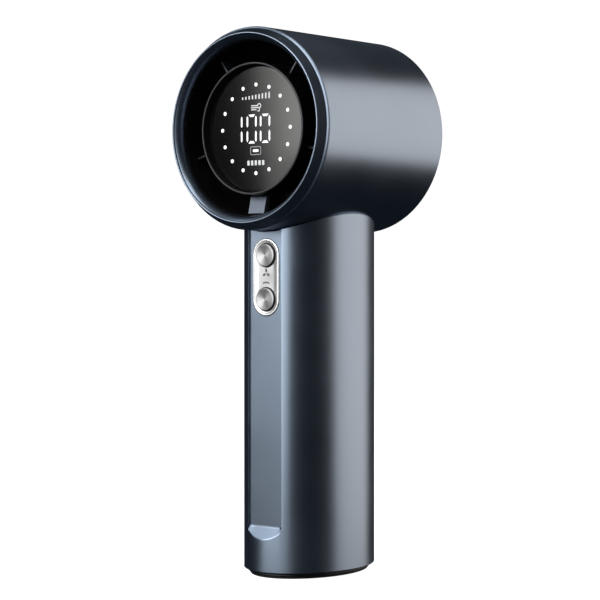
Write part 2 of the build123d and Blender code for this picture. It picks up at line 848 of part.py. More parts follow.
# ---------------------------------------------------------------- handle: chassis, cells and boards
chassis_gap = 0.3
floor_plate = 2.4
deck_plate = 1.6
tab_thickness = 0.2
deck_z = cell_floor + cell_length + 2 * tab_thickness
rail_width = 4.2
rail_depth = 7.0
rail_play = 1.4
rail_x = sleeve_inner_x - rail_play - rail_width / 2
screw_head_radius = 1.9
screw_head_height = 1.2
thread_gap = 0.02
boss_radius = 2.5
cap_plug = 1.7                  # depth of the base cap inside the sleeve
cap_top = base_gap + cap_plug
boss_x = rail_x
cell_y = cell_gap / 2 + cell_radius
deck_gap = 1.2
control_setback = 2.5
deck_front = button_board_rear + deck_gap

control_front = neck_slot_y + neck_slot_length / 2 - control_setback
control_thickness = 1.2
control_half_width = 11.0
control_rear = control_front + control_thickness
wire_radius = 0.5
battery_lead_x = 1.6
battery_lead_y = cell_y + 2.15
charge_lead_x = control_half_width - 1.1
charge_lead_y = control_rear + wire_radius + slip

with BuildPart() as chassis:
    with BuildSketch(Plane.XY.offset(cell_floor - floor_plate)):
        Ellipse(sleeve_inner_x - chassis_gap, sleeve_inner_y - chassis_gap)
        with Locations((0, flat_inner + chassis_gap)):
            Rectangle(4 * flat_half_width, 2 * handle_half_depth, align=(Align.CENTER, Align.MAX),
                      mode=Mode.SUBTRACT)
    extrude(amount=floor_plate - tab_thickness)
    with BuildSketch(Plane.XY.offset(deck_z)):
        Ellipse(sleeve_inner_x - chassis_gap, sleeve_inner_y - chassis_gap)
        with Locations((0, deck_front)):
            Rectangle(4 * flat_half_width, 2 * handle_half_depth, align=(Align.CENTER, Align.MAX),
                      mode=Mode.SUBTRACT)
    extrude(amount=deck_plate)
    with BuildSketch(Plane.XY.offset(cell_floor - floor_plate)):
        with GridLocations(2 * rail_x, 0, 2, 1):
            Rectangle(rail_width, rail_depth)
    extrude(amount=deck_z + deck_plate - cell_floor + floor_plate)
    with BuildSketch(Plane.XY.offset(cap_top)):
        with GridLocations(2 * boss_x, 0, 2, 1):
            Circle(boss_radius)
    extrude(amount=cell_floor - floor_plate - cap_top)
    with BuildSketch(Plane.XY.offset(cap_top)):
        with GridLocations(2 * boss_x, 0, 2, 1):
            Circle(screw_radius + thread_gap)
    extrude(amount=8.0, mode=Mode.SUBTRACT)
    with BuildSketch(Plane.XY.offset(deck_z + deck_plate)):
        with GridLocations(2 * rail_x, 0, 2, 1):
            Circle(screw_radius + thread_gap)
    extrude(amount=-8.0, mode=Mode.SUBTRACT)
    with BuildSketch(Plane.XY.offset(cell_floor - floor_plate)):
        with Locations((-battery_lead_x, battery_lead_y), (battery_lead_x, battery_lead_y)):
            Circle(wire_radius + 0.3)
        with Locations((-charge_lead_x, charge_lead_y), (charge_lead_x, charge_lead_y)):
            Circle(wire_radius + 0.3)
    extrude(amount=deck_z + deck_plate - cell_floor + floor_plate, mode=Mode.SUBTRACT)


def cell(y):
    """One round battery cell, with the raised contact at its top."""
    with BuildPart() as can:
        with BuildSketch(Plane.XY.offset(cell_floor)):
            with Locations((0, y)):
                Circle(cell_radius)
        extrude(amount=cell_length - 0.5)
        fillet(can.faces().sort_by(Axis.Z)[0].edges(), 0.6)
        fillet(can.faces().sort_by(Axis.Z)[-1].edges(), 0.8)
        with BuildSketch(Plane.XY.offset(cell_floor + cell_length - 0.5)):
            with Locations((0, y)):
                Circle(3.4)
        extrude(amount=0.5)
    return can


front_cell = cell(-cell_y)
rear_cell = cell(cell_y)

tab_width = 7.0
with BuildPart() as cell_tabs:
    for z in (cell_floor - tab_thickness, cell_floor + cell_length):
        with BuildSketch(Plane.XY.offset(z)):
            SlotOverall(2 * cell_y + tab_width, tab_width, rotation=90)
        extrude(amount=tab_thickness)

# Neck bracket: fills the top of the sleeve, carries the head, and is screwed to the chassis' rails.
bracket_drop = 6.5
bracket_z = handle_height - bracket_drop
neck_screw_head = 1.3
leg_end = deck_z + deck_plate
with BuildPart() as neck_bracket:
    with BuildSketch(Plane.XY.offset(bracket_z)):
        Ellipse(sleeve_inner_x - slip, sleeve_inner_y - slip)
        with Locations((0, button_board_rear + 0.4)):
            Rectangle(4 * flat_half_width, 2 * handle_half_depth, align=(Align.CENTER, Align.MAX),
                      mode=Mode.SUBTRACT)
        with Locations((0, neck_slot_y)):
            Rectangle(neck_slot + 4, neck_slot_length + 1, mode=Mode.SUBTRACT)
    extrude(amount=handle_height + 8 - bracket_z)
    with BuildSketch(Plane.XY.offset(leg_end)):
        with GridLocations(2 * rail_x, 0, 2, 1):
            Rectangle(rail_width, rail_depth)
    extrude(amount=bracket_z - leg_end + 1)
    with BuildSketch(facing(handle_half_depth + head_radius, head_z)):
        Circle(head_radius + slip)
    extrude(amount=2 * (handle_half_depth + head_radius), mode=Mode.SUBTRACT)
    with BuildSketch(Plane.XY.offset(leg_end)):
        with GridLocations(2 * rail_x, 0, 2, 1):
            Circle(screw_radius + thread_gap)
    extrude(amount=5.0, mode=Mode.SUBTRACT)
    with BuildSketch(Plane.XY.offset(bracket_z)):
        with Locations([(0, y) for y in neck_screws_y]):
            Circle(screw_radius + thread_gap)
    extrude(amount=10.0, mode=Mode.SUBTRACT)


def screws(places, head_z_low, head_height, head_r, tip_z):
    """Round-headed screws that point down, as one group. places are (x, y)."""
    with BuildPart() as group:
        with BuildSketch(Plane.XY.offset(head_z_low)):
            with Locations(places):
                Circle(head_r)
        extrude(amount=head_height)
        with BuildSketch(Plane.XY.offset(head_z_low)):
            with Locations(places):
                Circle(screw_radius)
        extrude(amount=tip_z - head_z_low)
    return group


neck_screws = screws([(0, y) for y in neck_screws_y], head_z - head_inner + 0.07, neck_screw_head,
                     screw_head_radius, bracket_z + 0.3)

stud_half = 4.2
with BuildPart() as chassis_studs:
    with BuildSketch(Plane.XY.offset(leg_end - stud_half)):
        with GridLocations(2 * rail_x, 0, 2, 1):
            Circle(screw_radius)
    extrude(amount=2 * stud_half)

# ---------------------------------------------------------------- base
cap_inset = 1.45
pad_inset = 1.95
pad_height = 0.7
pocket_radius = screw_head_radius + screw_play
board_post = 1.5
board_post_x = 6.0
board_post_y = 14.0
with BuildPart() as base_cap:
    with BuildSketch(Plane.XY.offset(pad_height)):
        Ellipse(handle_half_width - cap_inset, handle_half_depth - cap_inset)
    extrude(amount=base_gap - pad_height)
    with BuildSketch(Plane.XY.offset(base_gap)):
        Ellipse(sleeve_inner_x - slip, sleeve_inner_y - slip)
    extrude(amount=cap_plug)
    with BuildSketch(Plane.XY.offset(cap_top)):
        with GridLocations(2 * board_post_x, 0, 2, 1):
            with Locations((0, board_post_y)):
                Circle(board_post)
    extrude(amount=charge_board_z - cap_top)
    with BuildSketch(Plane.XY.offset(pad_height)):
        with GridLocations(2 * boss_x, 0, 2, 1):
            Circle(pocket_radius)
    extrude(amount=screw_head_height + 0.1, mode=Mode.SUBTRACT)
    with BuildSketch(Plane.XY.offset(pad_height)):
        with GridLocations(2 * boss_x, 0, 2, 1):
            Circle(screw_radius + 2 * slip)
    extrude(amount=base_gap + cap_plug, mode=Mode.SUBTRACT)

with BuildPart() as foot_pad:
    with BuildSketch(Plane.XY):
        Ellipse(handle_half_width - pad_inset, handle_half_depth - pad_inset)
    extrude(amount=pad_height)
    chamfer(foot_pad.faces().sort_by(Axis.Z)[0].edges(), 0.25)

with BuildPart() as base_screws:
    with BuildSketch(Plane.XY.offset(pad_height + 0.1)):
        with GridLocations(2 * boss_x, 0, 2, 1):
            Circle(screw_head_radius)
    extrude(amount=screw_head_height)
    with BuildSketch(Plane.XY.offset(pad_height + 0.1)):
        with GridLocations(2 * boss_x, 0, 2, 1):
            Circle(screw_radius)
    extrude(amount=cap_top + 7.5 - pad_height)

# ---------------------------------------------------------------- charging port and boards
usb_inset = 0.9
usb_mouth = handle_half_depth - usb_inset
usb_back = usb_mouth - usb_depth
board_margin = 0.3
with BuildPart() as charge_board:
    with BuildSketch(Plane.XY.offset(charge_board_z)):
        Ellipse(sleeve_inner_x - board_margin, sleeve_inner_y - board_margin)
        with Locations((0, boss_radius + 1.5)):
            Rectangle(3 * handle_half_width, 3 * handle_half_depth, align=(Align.CENTER, Align.MAX),
                      mode=Mode.SUBTRACT)
    extrude(amount=charge_board_thickness)

with BuildPart() as usb_shell:
    with BuildSketch(facing(usb_mouth, usb_z)):
        RectangleRounded(usb_width, usb_height, usb_corner)
    extrude(amount=usb_depth)
    with BuildSketch(facing(usb_mouth, usb_z)):
        RectangleRounded(usb_width - 2 * usb_wall, usb_height - 2 * usb_wall, usb_corner - usb_wall)
    extrude(amount=usb_depth - usb_wall, mode=Mode.SUBTRACT)

tongue_width = 6.7
tongue_thickness = 0.7
tongue_recess = 0.9
with BuildPart() as usb_tongue:
    with BuildSketch(facing(usb_mouth - tongue_recess, usb_z)):
        Rectangle(tongue_width, tongue_thickness)
    extrude(amount=usb_depth - tongue_recess - usb_wall)
    with BuildSketch(facing(usb_back + usb_wall + 1.4, usb_z)):
        RectangleRounded(usb_width - 2 * usb_wall, usb_height - 2 * usb_wall, usb_corner - usb_wall)
    extrude(amount=1.4)

control_play = 1.2
control_top = bracket_z - control_play
with BuildPart() as control_board:
    with BuildSketch(facing(control_rear, (deck_z + deck_plate + control_top) / 2)):
        Rectangle(2 * control_half_width, control_top - deck_z - deck_plate)
    extrude(amount=control_thickness)

chip_rise = 8.0
chip_z = deck_z + deck_plate + chip_rise
with BuildPart() as control_components:
    with BuildSketch(facing(control_rear, chip_z)):
        with Locations((-4.5, 2.5)):
            Rectangle(5.0, 5.0)
        with Locations((3.5, 2.5), (3.5, -3.0)):
            Rectangle(4.0, 3.6)
    extrude(amount=-1.0)
    with BuildSketch(facing(control_rear, chip_z)):
        with GridLocations(2.2, 1.6, 3, 2):
            with Locations((-4.6, -3.4)):
                Rectangle(1.3, 0.8)
    extrude(amount=-0.7)

# ---------------------------------------------------------------- wiring
wire_pitch = 1.1
lead_y = control_front - wire_radius
lead_low = control_top - 6.0
with BuildPart() as motor_leads:
    with BuildSketch(Plane.XY.offset(lead_low)):
        with Locations((lead_x, lead_y)):
            with GridLocations(wire_pitch, 0, 3, 1):
                Circle(wire_radius)
    extrude(amount=head_z - stator_outer + 0.3 - lead_low)

ribbon_drop_y = isolator_rear + isolator_width / 2
with BuildPart() as display_ribbon:
    with BuildSketch(Plane.YZ.offset(-ribbon_width / 2)):
        with BuildLine() as ribbon_path:
            Polyline(
                (ribbon_y, head_z - pod_inner + 2.4),
                (ribbon_y, head_z - ribbon_radius),
                (ribbon_drop_y, head_z - ribbon_radius),
                (ribbon_drop_y, bracket_z - 4.0),
                (control_front - ribbon_thickness, deck_z + deck_plate + 4.0),
            )
        trace(ribbon_path.line, ribbon_thickness)
    extrude(amount=ribbon_width)

button_ribbon_x = -7.0
button_ribbon_width = 3.0
with BuildPart() as button_ribbon:
    with BuildSketch(Plane.XZ.offset(-control_front)):
        with Locations((button_ribbon_x, deck_z + deck_plate + 1.5)):
            Rectangle(button_ribbon_width, ribbon_thickness)
    extrude(amount=control_front - button_board_rear)

with BuildPart() as battery_leads:
    with BuildSketch(Plane.XY.offset(cell_floor + cell_length + tab_thickness)):
        with Locations((-battery_lead_x, battery_lead_y), (battery_lead_x, battery_lead_y)):
            Circle(wire_radius)
    extrude(amount=10.0)

with BuildPart() as charge_leads:
    with BuildSketch(Plane.XY.offset(charge_board_z + charge_board_thickness)):
        with GridLocations(2 * charge_lead_x, 0, 2, 1):
            with Locations((0, charge_lead_y)):
                Circle(wire_radius)
    extrude(amount=deck_z + deck_plate + 7.0 - charge_board_z)

for name, piece in (
    ("head_shell", head_shell),
    ("intake_bezel", intake_bezel),
    ("outlet_ring", outlet_ring),
    ("intake_spider", intake_spider),
    ("strut_cover", strut_cover),
    ("display_trim", display_trim),
    ("display_lens", display_lens),
    ("display_symbols", display_symbols),
    ("light_mask", light_mask),
    ("display_board", display_board),
    ("display_leds", display_leds),
    ("pod_tail", pod_tail),
    ("fan_housing", fan_housing),
    ("motor_cap", motor_cap),
    ("bearing_outer_races", bearing_outer_races),
    ("bearing_inner_races", bearing_inner_races),
    ("bearing_balls", bearing_balls),
    ("motor_shaft", motor_shaft),
    ("rotor_magnet", rotor_magnet),
    ("stator_core", stator_core),
    ("stator_coils", stator_coils),
    ("impeller", impeller),
    ("rear_isolator", rear_isolator),
    ("front_isolator", front_isolator),
    ("outlet_guard", outlet_guard),
    ("handle_shell", handle_shell),
    ("button_bezel", button_bezel),
    ("button_plate", button_plate),
    ("upper_button", upper_button),
    ("lower_button", lower_button),
    ("button_icons", button_icons),
    ("button_board", button_board),
    ("tact_switches", tact_switches),
    ("chassis", chassis),
    ("front_cell", front_cell),
    ("rear_cell", rear_cell),
    ("cell_tabs", cell_tabs),
    ("neck_bracket", neck_bracket),
    ("neck_screws", neck_screws),
    ("chassis_studs", chassis_studs),
    ("base_cap", base_cap),
    ("foot_pad", foot_pad),
    ("base_screws", base_screws),
    ("charge_board", charge_board),
    ("usb_shell", usb_shell),
    ("usb_tongue", usb_tongue),
    ("control_board", control_board),
    ("control_components", control_components),
    ("motor_leads", motor_leads),
    ("display_ribbon", display_ribbon),
    ("button_ribbon", button_ribbon),
    ("battery_leads", battery_leads),
    ("charge_leads", charge_leads),
):
    piece.part.label = name
    export_step(piece.part, f"parts/{name}.step")
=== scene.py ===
from math import asin, cos, pi, radians, sin, sqrt, tan

import bmesh
import bpy
from bpy.props import FloatProperty, FloatVectorProperty, IntProperty, PointerProperty
from mathutils import Matrix, Vector


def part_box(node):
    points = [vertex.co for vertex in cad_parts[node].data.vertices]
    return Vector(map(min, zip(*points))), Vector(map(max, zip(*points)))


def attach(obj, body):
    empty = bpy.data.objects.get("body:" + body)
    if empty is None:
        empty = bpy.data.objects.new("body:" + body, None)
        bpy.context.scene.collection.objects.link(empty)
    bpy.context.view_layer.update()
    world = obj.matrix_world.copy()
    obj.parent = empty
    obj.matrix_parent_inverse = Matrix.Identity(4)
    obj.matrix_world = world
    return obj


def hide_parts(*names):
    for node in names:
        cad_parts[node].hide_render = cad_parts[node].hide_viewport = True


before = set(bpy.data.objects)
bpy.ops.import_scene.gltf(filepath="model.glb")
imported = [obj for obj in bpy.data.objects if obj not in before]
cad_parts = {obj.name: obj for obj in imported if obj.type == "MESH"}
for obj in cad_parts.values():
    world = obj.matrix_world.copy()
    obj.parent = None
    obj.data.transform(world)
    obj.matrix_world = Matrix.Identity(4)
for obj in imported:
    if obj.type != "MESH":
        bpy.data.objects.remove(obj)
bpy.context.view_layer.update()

bl_info = {
    "name": "Jet blower",
    "version": (1, 0, 0),
    "blender": (4, 5, 0),
    "location": "View3D > Sidebar > Blower",
    "description": "Builds the shells, fan, display, buttons and finishes of a hand-held jet blower",
    "category": "Object",
}

MM = 0.001

# ------------------------------------------------------------------ measures, taken from the frame
shell_low, shell_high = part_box("head_shell")
HEAD_R = shell_high.x
AXIS_Z = shell_high.z - HEAD_R
HEAD_REAR = shell_low.y
HEAD_FRONT = shell_high.y

bezel_low, bezel_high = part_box("intake_bezel")
LIP_Y = bezel_low.y
COLLAR_Y = bezel_high.y

spider_low, spider_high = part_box("intake_spider")
LINER_FRONT = spider_low.y
LINER_END = spider_high.y
LINER_OUTER = spider_high.x

trim_low, trim_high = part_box("display_trim")
POD_R = trim_high.x
TRIM_FRONT = trim_low.y
TRIM_REAR = trim_high.y

lens_low, lens_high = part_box("display_lens")
LENS_R = lens_high.x
LENS_FRONT = lens_low.y
LENS_REAR = lens_high.y

tail_low, tail_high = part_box("pod_tail")
POD_REAR = tail_low.y
TAIL_END = tail_high.y

cover_low, cover_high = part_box("strut_cover")
housing_low, housing_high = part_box("fan_housing")
FAN_OUTER = housing_high.x
impeller_low, impeller_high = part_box("impeller")
cap_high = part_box("motor_cap")[1]
ring_low, ring_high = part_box("outlet_ring")
guard_low, guard_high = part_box("outlet_guard")

handle_low, handle_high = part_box("handle_shell")
GRIP_X = handle_high.x
GRIP_Y = handle_high.y
GRIP_FOOT = handle_low.z
base_low, base_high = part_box("base_cap")
pad_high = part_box("foot_pad")[1]

capsule_low, capsule_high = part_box("button_bezel")
CAPSULE_Z = (capsule_low.z + capsule_high.z) / 2
CAPSULE_W = capsule_high.x
CAPSULE_H = (capsule_high.z - capsule_low.z) / 2
plate_low, plate_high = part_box("button_plate")
FLAT_Y = plate_low.y

# ------------------------------------------------------------------ sizes shared by several pieces
ALL_ROUND = 2 * pi
SLIP = 0.05 * MM            # between pieces that slide into each other
THROAT_R = HEAD_R - 4.2 * MM
FAN_BORE = 20.85 * MM
SOCKET_R = 22.05 * MM
RIM_WALL = 0.65 * MM
BARREL_START = 13.15 * MM   # from the housing's rear end to the motor's barrel
BUTTON_R = 3.52 * MM
BUTTON_HOLE_R = 3.64 * MM
DOME = 0.32 * MM            # rise of the display's face over its edge


# ------------------------------------------------------------------ making meshes
def link(obj):
    """Puts an object in the scene."""
    bpy.context.scene.collection.objects.link(obj)
    return obj


def object_from(name, bm, smooth=True):
    """A new object that holds the bmesh, with its doubles merged and its faces pointing outwards."""
    bmesh.ops.remove_doubles(bm, verts=bm.verts, dist=1e-7)
    bmesh.ops.dissolve_degenerate(bm, edges=bm.edges, dist=1e-7)
    bmesh.ops.recalc_face_normals(bm, faces=bm.faces)
    mesh = bpy.data.meshes.new(name)
    bm.to_mesh(mesh)
    bm.free()
    obj = link(bpy.data.objects.new(name, mesh))
    if smooth:
        mesh.shade_smooth()
    return obj


def make_plain(obj):
    """Turns the object's modifiers into plain mesh."""
    bpy.context.view_layer.update()
    evaluated = obj.evaluated_get(bpy.context.evaluated_depsgraph_get())
    mesh = bpy.data.meshes.new_from_object(evaluated)
    obj.modifiers.clear()
    old = obj.data
    obj.data = mesh
    mesh.name = obj.name
    if old.users == 0:
        bpy.data.meshes.remove(old)
    return obj


def soften(obj, width, segments=2, angle=35):
    """Breaks the sharp edges and keeps the flats flat-shaded."""
    if width:
        bevel = obj.modifiers.new("edge break", "BEVEL")
        bevel.width = width
        bevel.segments = segments
        bevel.limit_method = "ANGLE"
        bevel.angle_limit = radians(angle)
    weighted = obj.modifiers.new("even shading", "WEIGHTED_NORMAL")
    weighted.keep_sharp = True
    return make_plain(obj)


def rounded(corners, segments=4):
    """A closed outline from (a, b, radius) corners: each corner becomes an arc of that radius."""
    points = []
    count = len(corners)
    for i, (a, b, radius) in enumerate(corners):
        here = Vector((a, b))
        before = Vector(corners[i - 1][:2]) - here
        after = Vector(corners[(i + 1) % count][:2]) - here
        if radius <= 0 or before.length < 1e-9 or after.length < 1e-9:
            points.append(here)
            continue
        turn = before.angle(after)
        reach = min(radius / tan(turn / 2), 0.49 * before.length, 0.49 * after.length)
        start = here + before.normalized() * reach
        end = here + after.normalized() * reach
        for k in range(segments + 1):
            t = k / segments
            points.append((1 - t) ** 2 * start + 2 * t * (1 - t) * here + t * t * end)
    return [(p.x, p.y) for p in points]


def skin(bm, rings):
    """Joins each ring of corners to the next one, all the way round."""
    for low, high in zip(rings, rings[1:]):
        for k in range(len(low)):
            j = (k + 1) % len(low)
            bm.faces.new((low[k], low[j], high[j], high[k]))


def turn_outline(bm, outline, centre, segments, closed):
    """Turns an outline of (place on the axis, radius) pairs; centre(along, x, y) places a corner."""
    rings = []
    for along, radius in outline:
        if radius < 1e-7:
            rings.append([bm.verts.new(centre(along, 0, 0))] * segments)
        else:
            turns = [ALL_ROUND * k / segments for k in range(segments)]
            rings.append([bm.verts.new(centre(along, radius * cos(t), radius * sin(t))) for t in turns])
    for ring, following in zip(rings, rings[1:] + rings[:1] if closed else rings[1:]):
        for k in range(segments):
            j = (k + 1) % segments
            corners = []
            for v in (ring[k], following[k], following[j], ring[j]):
                if v not in corners:
                    corners.append(v)
            if len(corners) > 2:
                bm.faces.new(corners)


def lathe(name, outline, segments=192):
    """Turns a closed (y, radius) outline about the head's axis."""
    bm = bmesh.new()
    turn_outline(bm, outline, lambda y, x, z: (x, y, AXIS_Z + z), segments, True)
    return object_from(name, bm)


def turned(name, outline, finish, nodes=(), segments=192, body="casing"):
    """Turns an outline about the head's axis and finishes the piece."""
    return settle(soften(lathe(name, outline, segments), 0), FINISH[finish], body, nodes)


def stack(name, layers, around):
    """Joins closed rings of equal count into a skin with flat ends. layers are (outline function, z)."""
    bm = bmesh.new()
    rings = [[bm.verts.new((*place(k / around), z)) for k in range(around)] for place, z in layers]
    skin(bm, rings)
    bm.faces.new(rings[0][::-1])
    bm.faces.new(rings[-1])
    return object_from(name, bm)


def oval(half_x, half_y):
    """An ellipse as a function of a turn from 0 to 1."""
    return lambda t: (half_x * cos(ALL_ROUND * t), half_y * sin(ALL_ROUND * t))


def stadium(half_width, half_height, centre_z, count=96):
    """Points (x, z) round an upright stadium, from its top, clockwise as seen from the display's side."""
    straight = half_height - half_width
    points = []
    for k in range(count):
        angle = ALL_ROUND * k / count
        x = half_width * sin(angle)
        z = half_width * cos(angle)
        if abs(cos(angle)) > 1e-9:
            z += straight if z > 0 else -straight
        points.append((x, centre_z + z))
    return points


def slab(name, outline, y_front, y_back, break_width=0.0, hole=None):
    """A plate whose (x, z) outline faces the display's side, with an optional matching hole."""
    bm = bmesh.new()

    def ring(points, y):
        return [bm.verts.new((x, y, z)) for x, z in points]

    front, back = ring(outline, y_front), ring(outline, y_back)
    skin(bm, (front, back))
    if hole:
        inner_front, inner_back = ring(hole, y_front), ring(hole, y_back)
        skin(bm, (inner_back, inner_front, front))
        skin(bm, (back, inner_back))
    else:
        bm.faces.new(front)
        bm.faces.new(back)
    obj = object_from(name, bm)
    return soften(obj, break_width, 3, 50) if break_width else obj


def repeat_tree():
    """A node tree that sets copies of the object's own mesh round the head's axis."""
    tree = bpy.data.node_groups.new("Repeat round the axis", "GeometryNodeTree")
    face = tree.interface
    face.new_socket("Item", in_out="INPUT", socket_type="NodeSocketGeometry")
    count = face.new_socket("Count", in_out="INPUT", socket_type="NodeSocketInt")
    count.default_value = 8
    face.new_socket("First angle", in_out="INPUT", socket_type="NodeSocketFloat")
    face.new_socket("Axis height", in_out="INPUT", socket_type="NodeSocketFloat")
    face.new_socket("Finish", in_out="INPUT", socket_type="NodeSocketMaterial")
    face.new_socket("Pieces", in_out="OUTPUT", socket_type="NodeSocketGeometry")
    enter = tree.nodes.new("NodeGroupInput")
    leave = tree.nodes.new("NodeGroupOutput")
    points = tree.nodes.new("GeometryNodePoints")
    index = tree.nodes.new("GeometryNodeInputIndex")
    share = add(tree, "ShaderNodeMath", operation="DIVIDE")
    angle = add(tree, "ShaderNodeMath", {1: ALL_ROUND}, operation="MULTIPLY_ADD")
    turn = tree.nodes.new("ShaderNodeCombineXYZ")
    place = tree.nodes.new("GeometryNodeInstanceOnPoints")
    lift = tree.nodes.new("ShaderNodeCombineXYZ")
    move = tree.nodes.new("GeometryNodeTransform")
    real = tree.nodes.new("GeometryNodeRealizeInstances")
    paint = tree.nodes.new("GeometryNodeSetMaterial")
    wire(
        tree,
        (enter.outputs["Count"], points.inputs["Count"]), (index.outputs[0], share.inputs[0]),
        (enter.outputs["Count"], share.inputs[1]), (share.outputs[0], angle.inputs[0]),
        (enter.outputs["First angle"], angle.inputs[2]), (angle.outputs[0], turn.inputs["Y"]),
        (points.outputs[0], place.inputs["Points"]), (enter.outputs["Item"], place.inputs["Instance"]),
        (turn.outputs[0], place.inputs["Rotation"]), (enter.outputs["Axis height"], lift.inputs["Z"]),
        (place.outputs[0], move.inputs["Geometry"]), (lift.outputs[0], move.inputs["Translation"]),
        (move.outputs[0], real.inputs[0]), (real.outputs[0], paint.inputs["Geometry"]),
        (enter.outputs["Finish"], paint.inputs["Material"]), (paint.outputs[0], leave.inputs[0]),
    )
    return tree


def set_input(modifier, name, value):
    """Sets a tree's input by its socket's identifier."""
    for item in modifier.node_group.interface.items_tree:
        if item.item_type == "SOCKET" and item.in_out == "INPUT" and item.name == name:
            modifier[item.identifier] = value
            return
    raise RuntimeError(f"the tree has no input named {name}")


def repeat(item, count, material, first_angle=0.0):
    """Repeats the item, which stands on the +Z spoke of an axis at z = 0, round the head's axis."""
    tree = bpy.data.node_groups.get("Repeat round the axis") or repeat_tree()
    modifier = item.modifiers.new("round the axis", "NODES")
    modifier.node_group = tree
    set_input(modifier, "Count", count)
    set_input(modifier, "First angle", first_angle)
    set_input(modifier, "Axis height", AXIS_Z)
    set_input(modifier, "Finish", material)
    return make_plain(item)


def settle(obj, material, body="casing", nodes=()):
    """Gives a finished piece its material and its body, and hides the frame's nodes that it stands for."""
    if material is not None:
        obj.data.materials.clear()
        obj.data.materials.append(material)
    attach(obj, body)
    if nodes:
        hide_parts(*nodes)
    return obj


# ------------------------------------------------------------------ finishes
def material(name):
    """A new material and its principled shader."""
    made = bpy.data.materials.new(name)
    made.use_nodes = True
    return made, made.node_tree, made.node_tree.nodes["Principled BSDF"]


def add(tree, kind, inputs=None, **settings):
    """A new node with its settings and the values of its inputs."""
    node = tree.nodes.new(kind)
    for name, value in settings.items():
        setattr(node, name, value)
    for name, value in (inputs or {}).items():
        node.inputs[name].default_value = value
    return node


def wire(tree, *pairs):
    """Links each output to an input."""
    for output, into in pairs:
        tree.links.new(output, into)


def ramp_between(tree, low, dark, high, light):
    """A colour ramp between two colours at two places."""
    ramp = tree.nodes.new("ShaderNodeValToRGB")
    for element, place, colour in zip(ramp.color_ramp.elements, (low, high), (dark, light)):
        element.position = place
        element.color = (*colour, 1)
    return ramp


def grain(tree, scale, detail=2.0, stretch=(1, 1, 1)):
    """Noise in the piece's own coordinates. Scale is in waves to the metre."""
    coords = tree.nodes.new("ShaderNodeTexCoord")
    mapping = add(tree, "ShaderNodeMapping", {"Scale": stretch})
    noise = add(tree, "ShaderNodeTexNoise", {"Scale": scale, "Detail": detail})
    wire(tree, (coords.outputs["Object"], mapping.inputs["Vector"]),
         (mapping.outputs["Vector"], noise.inputs["Vector"]))
    return noise.outputs["Fac"]


def spread(tree, value, low, high):
    """Maps the middle of a noise to a range."""
    ranged = add(tree, "ShaderNodeMapRange", {"From Min": 0.3, "From Max": 0.7, "To Min": low, "To Max": high})
    wire(tree, (value, ranged.inputs["Value"]))
    return ranged.outputs["Result"]


def tint(tree, value, dark, light):
    """A colour that runs from dark to light with the value."""
    ramp = ramp_between(tree, 0.3, dark, 0.7, light)
    wire(tree, (value, ramp.inputs["Fac"]))
    return ramp.outputs["Color"]


def relief(tree, shader, height, strength, distance):
    """Feeds a height to the shader's normal."""
    bump = add(tree, "ShaderNodeBump", {"Strength": strength, "Distance": distance})
    wire(tree, (height, bump.inputs["Height"]), (bump.outputs["Normal"], shader.inputs["Normal"]))


def scaled(colour, factor):
    """A colour made lighter or darker."""
    return tuple(c * factor for c in colour)


def plain_finish(name, colour, metal, rough, coarse, fine, depth, vary=0.12, coat=0.0, stretch=(1, 1, 1)):
    """A surface with a slow change of tone, a fine grain in its relief and an uneven roughness."""
    made, tree, shader = material(name)
    slow = grain(tree, coarse, 3.0)
    fast = grain(tree, fine, 2.0, stretch)
    colour_out = tint(tree, slow, scaled(colour, 1 - vary), scaled(colour, 1 + vary))
    tree.links.new(colour_out, shader.inputs["Base Color"])
    tree.links.new(spread(tree, slow, rough * 0.92, rough * 1.08), shader.inputs["Roughness"])
    shader.inputs["Metallic"].default_value = metal
    shader.inputs["Coat Weight"].default_value = coat
    shader.inputs["Coat Roughness"].default_value = 0.08
    relief(tree, shader, fast, depth, 0.00003)
    return made


def dull(made, level):
    """Lowers how much a plastic mirrors."""
    made.node_tree.nodes["Principled BSDF"].inputs["Specular IOR Level"].default_value = level
    return made


def anodised_finish(colour, rough):
    """Bead-blasted, anodised aluminium: a fine even grain and a slightly cloudy dye."""
    return plain_finish("anodised aluminium", colour, 1.0, rough, 35, 5200, 0.16, vary=0.05)


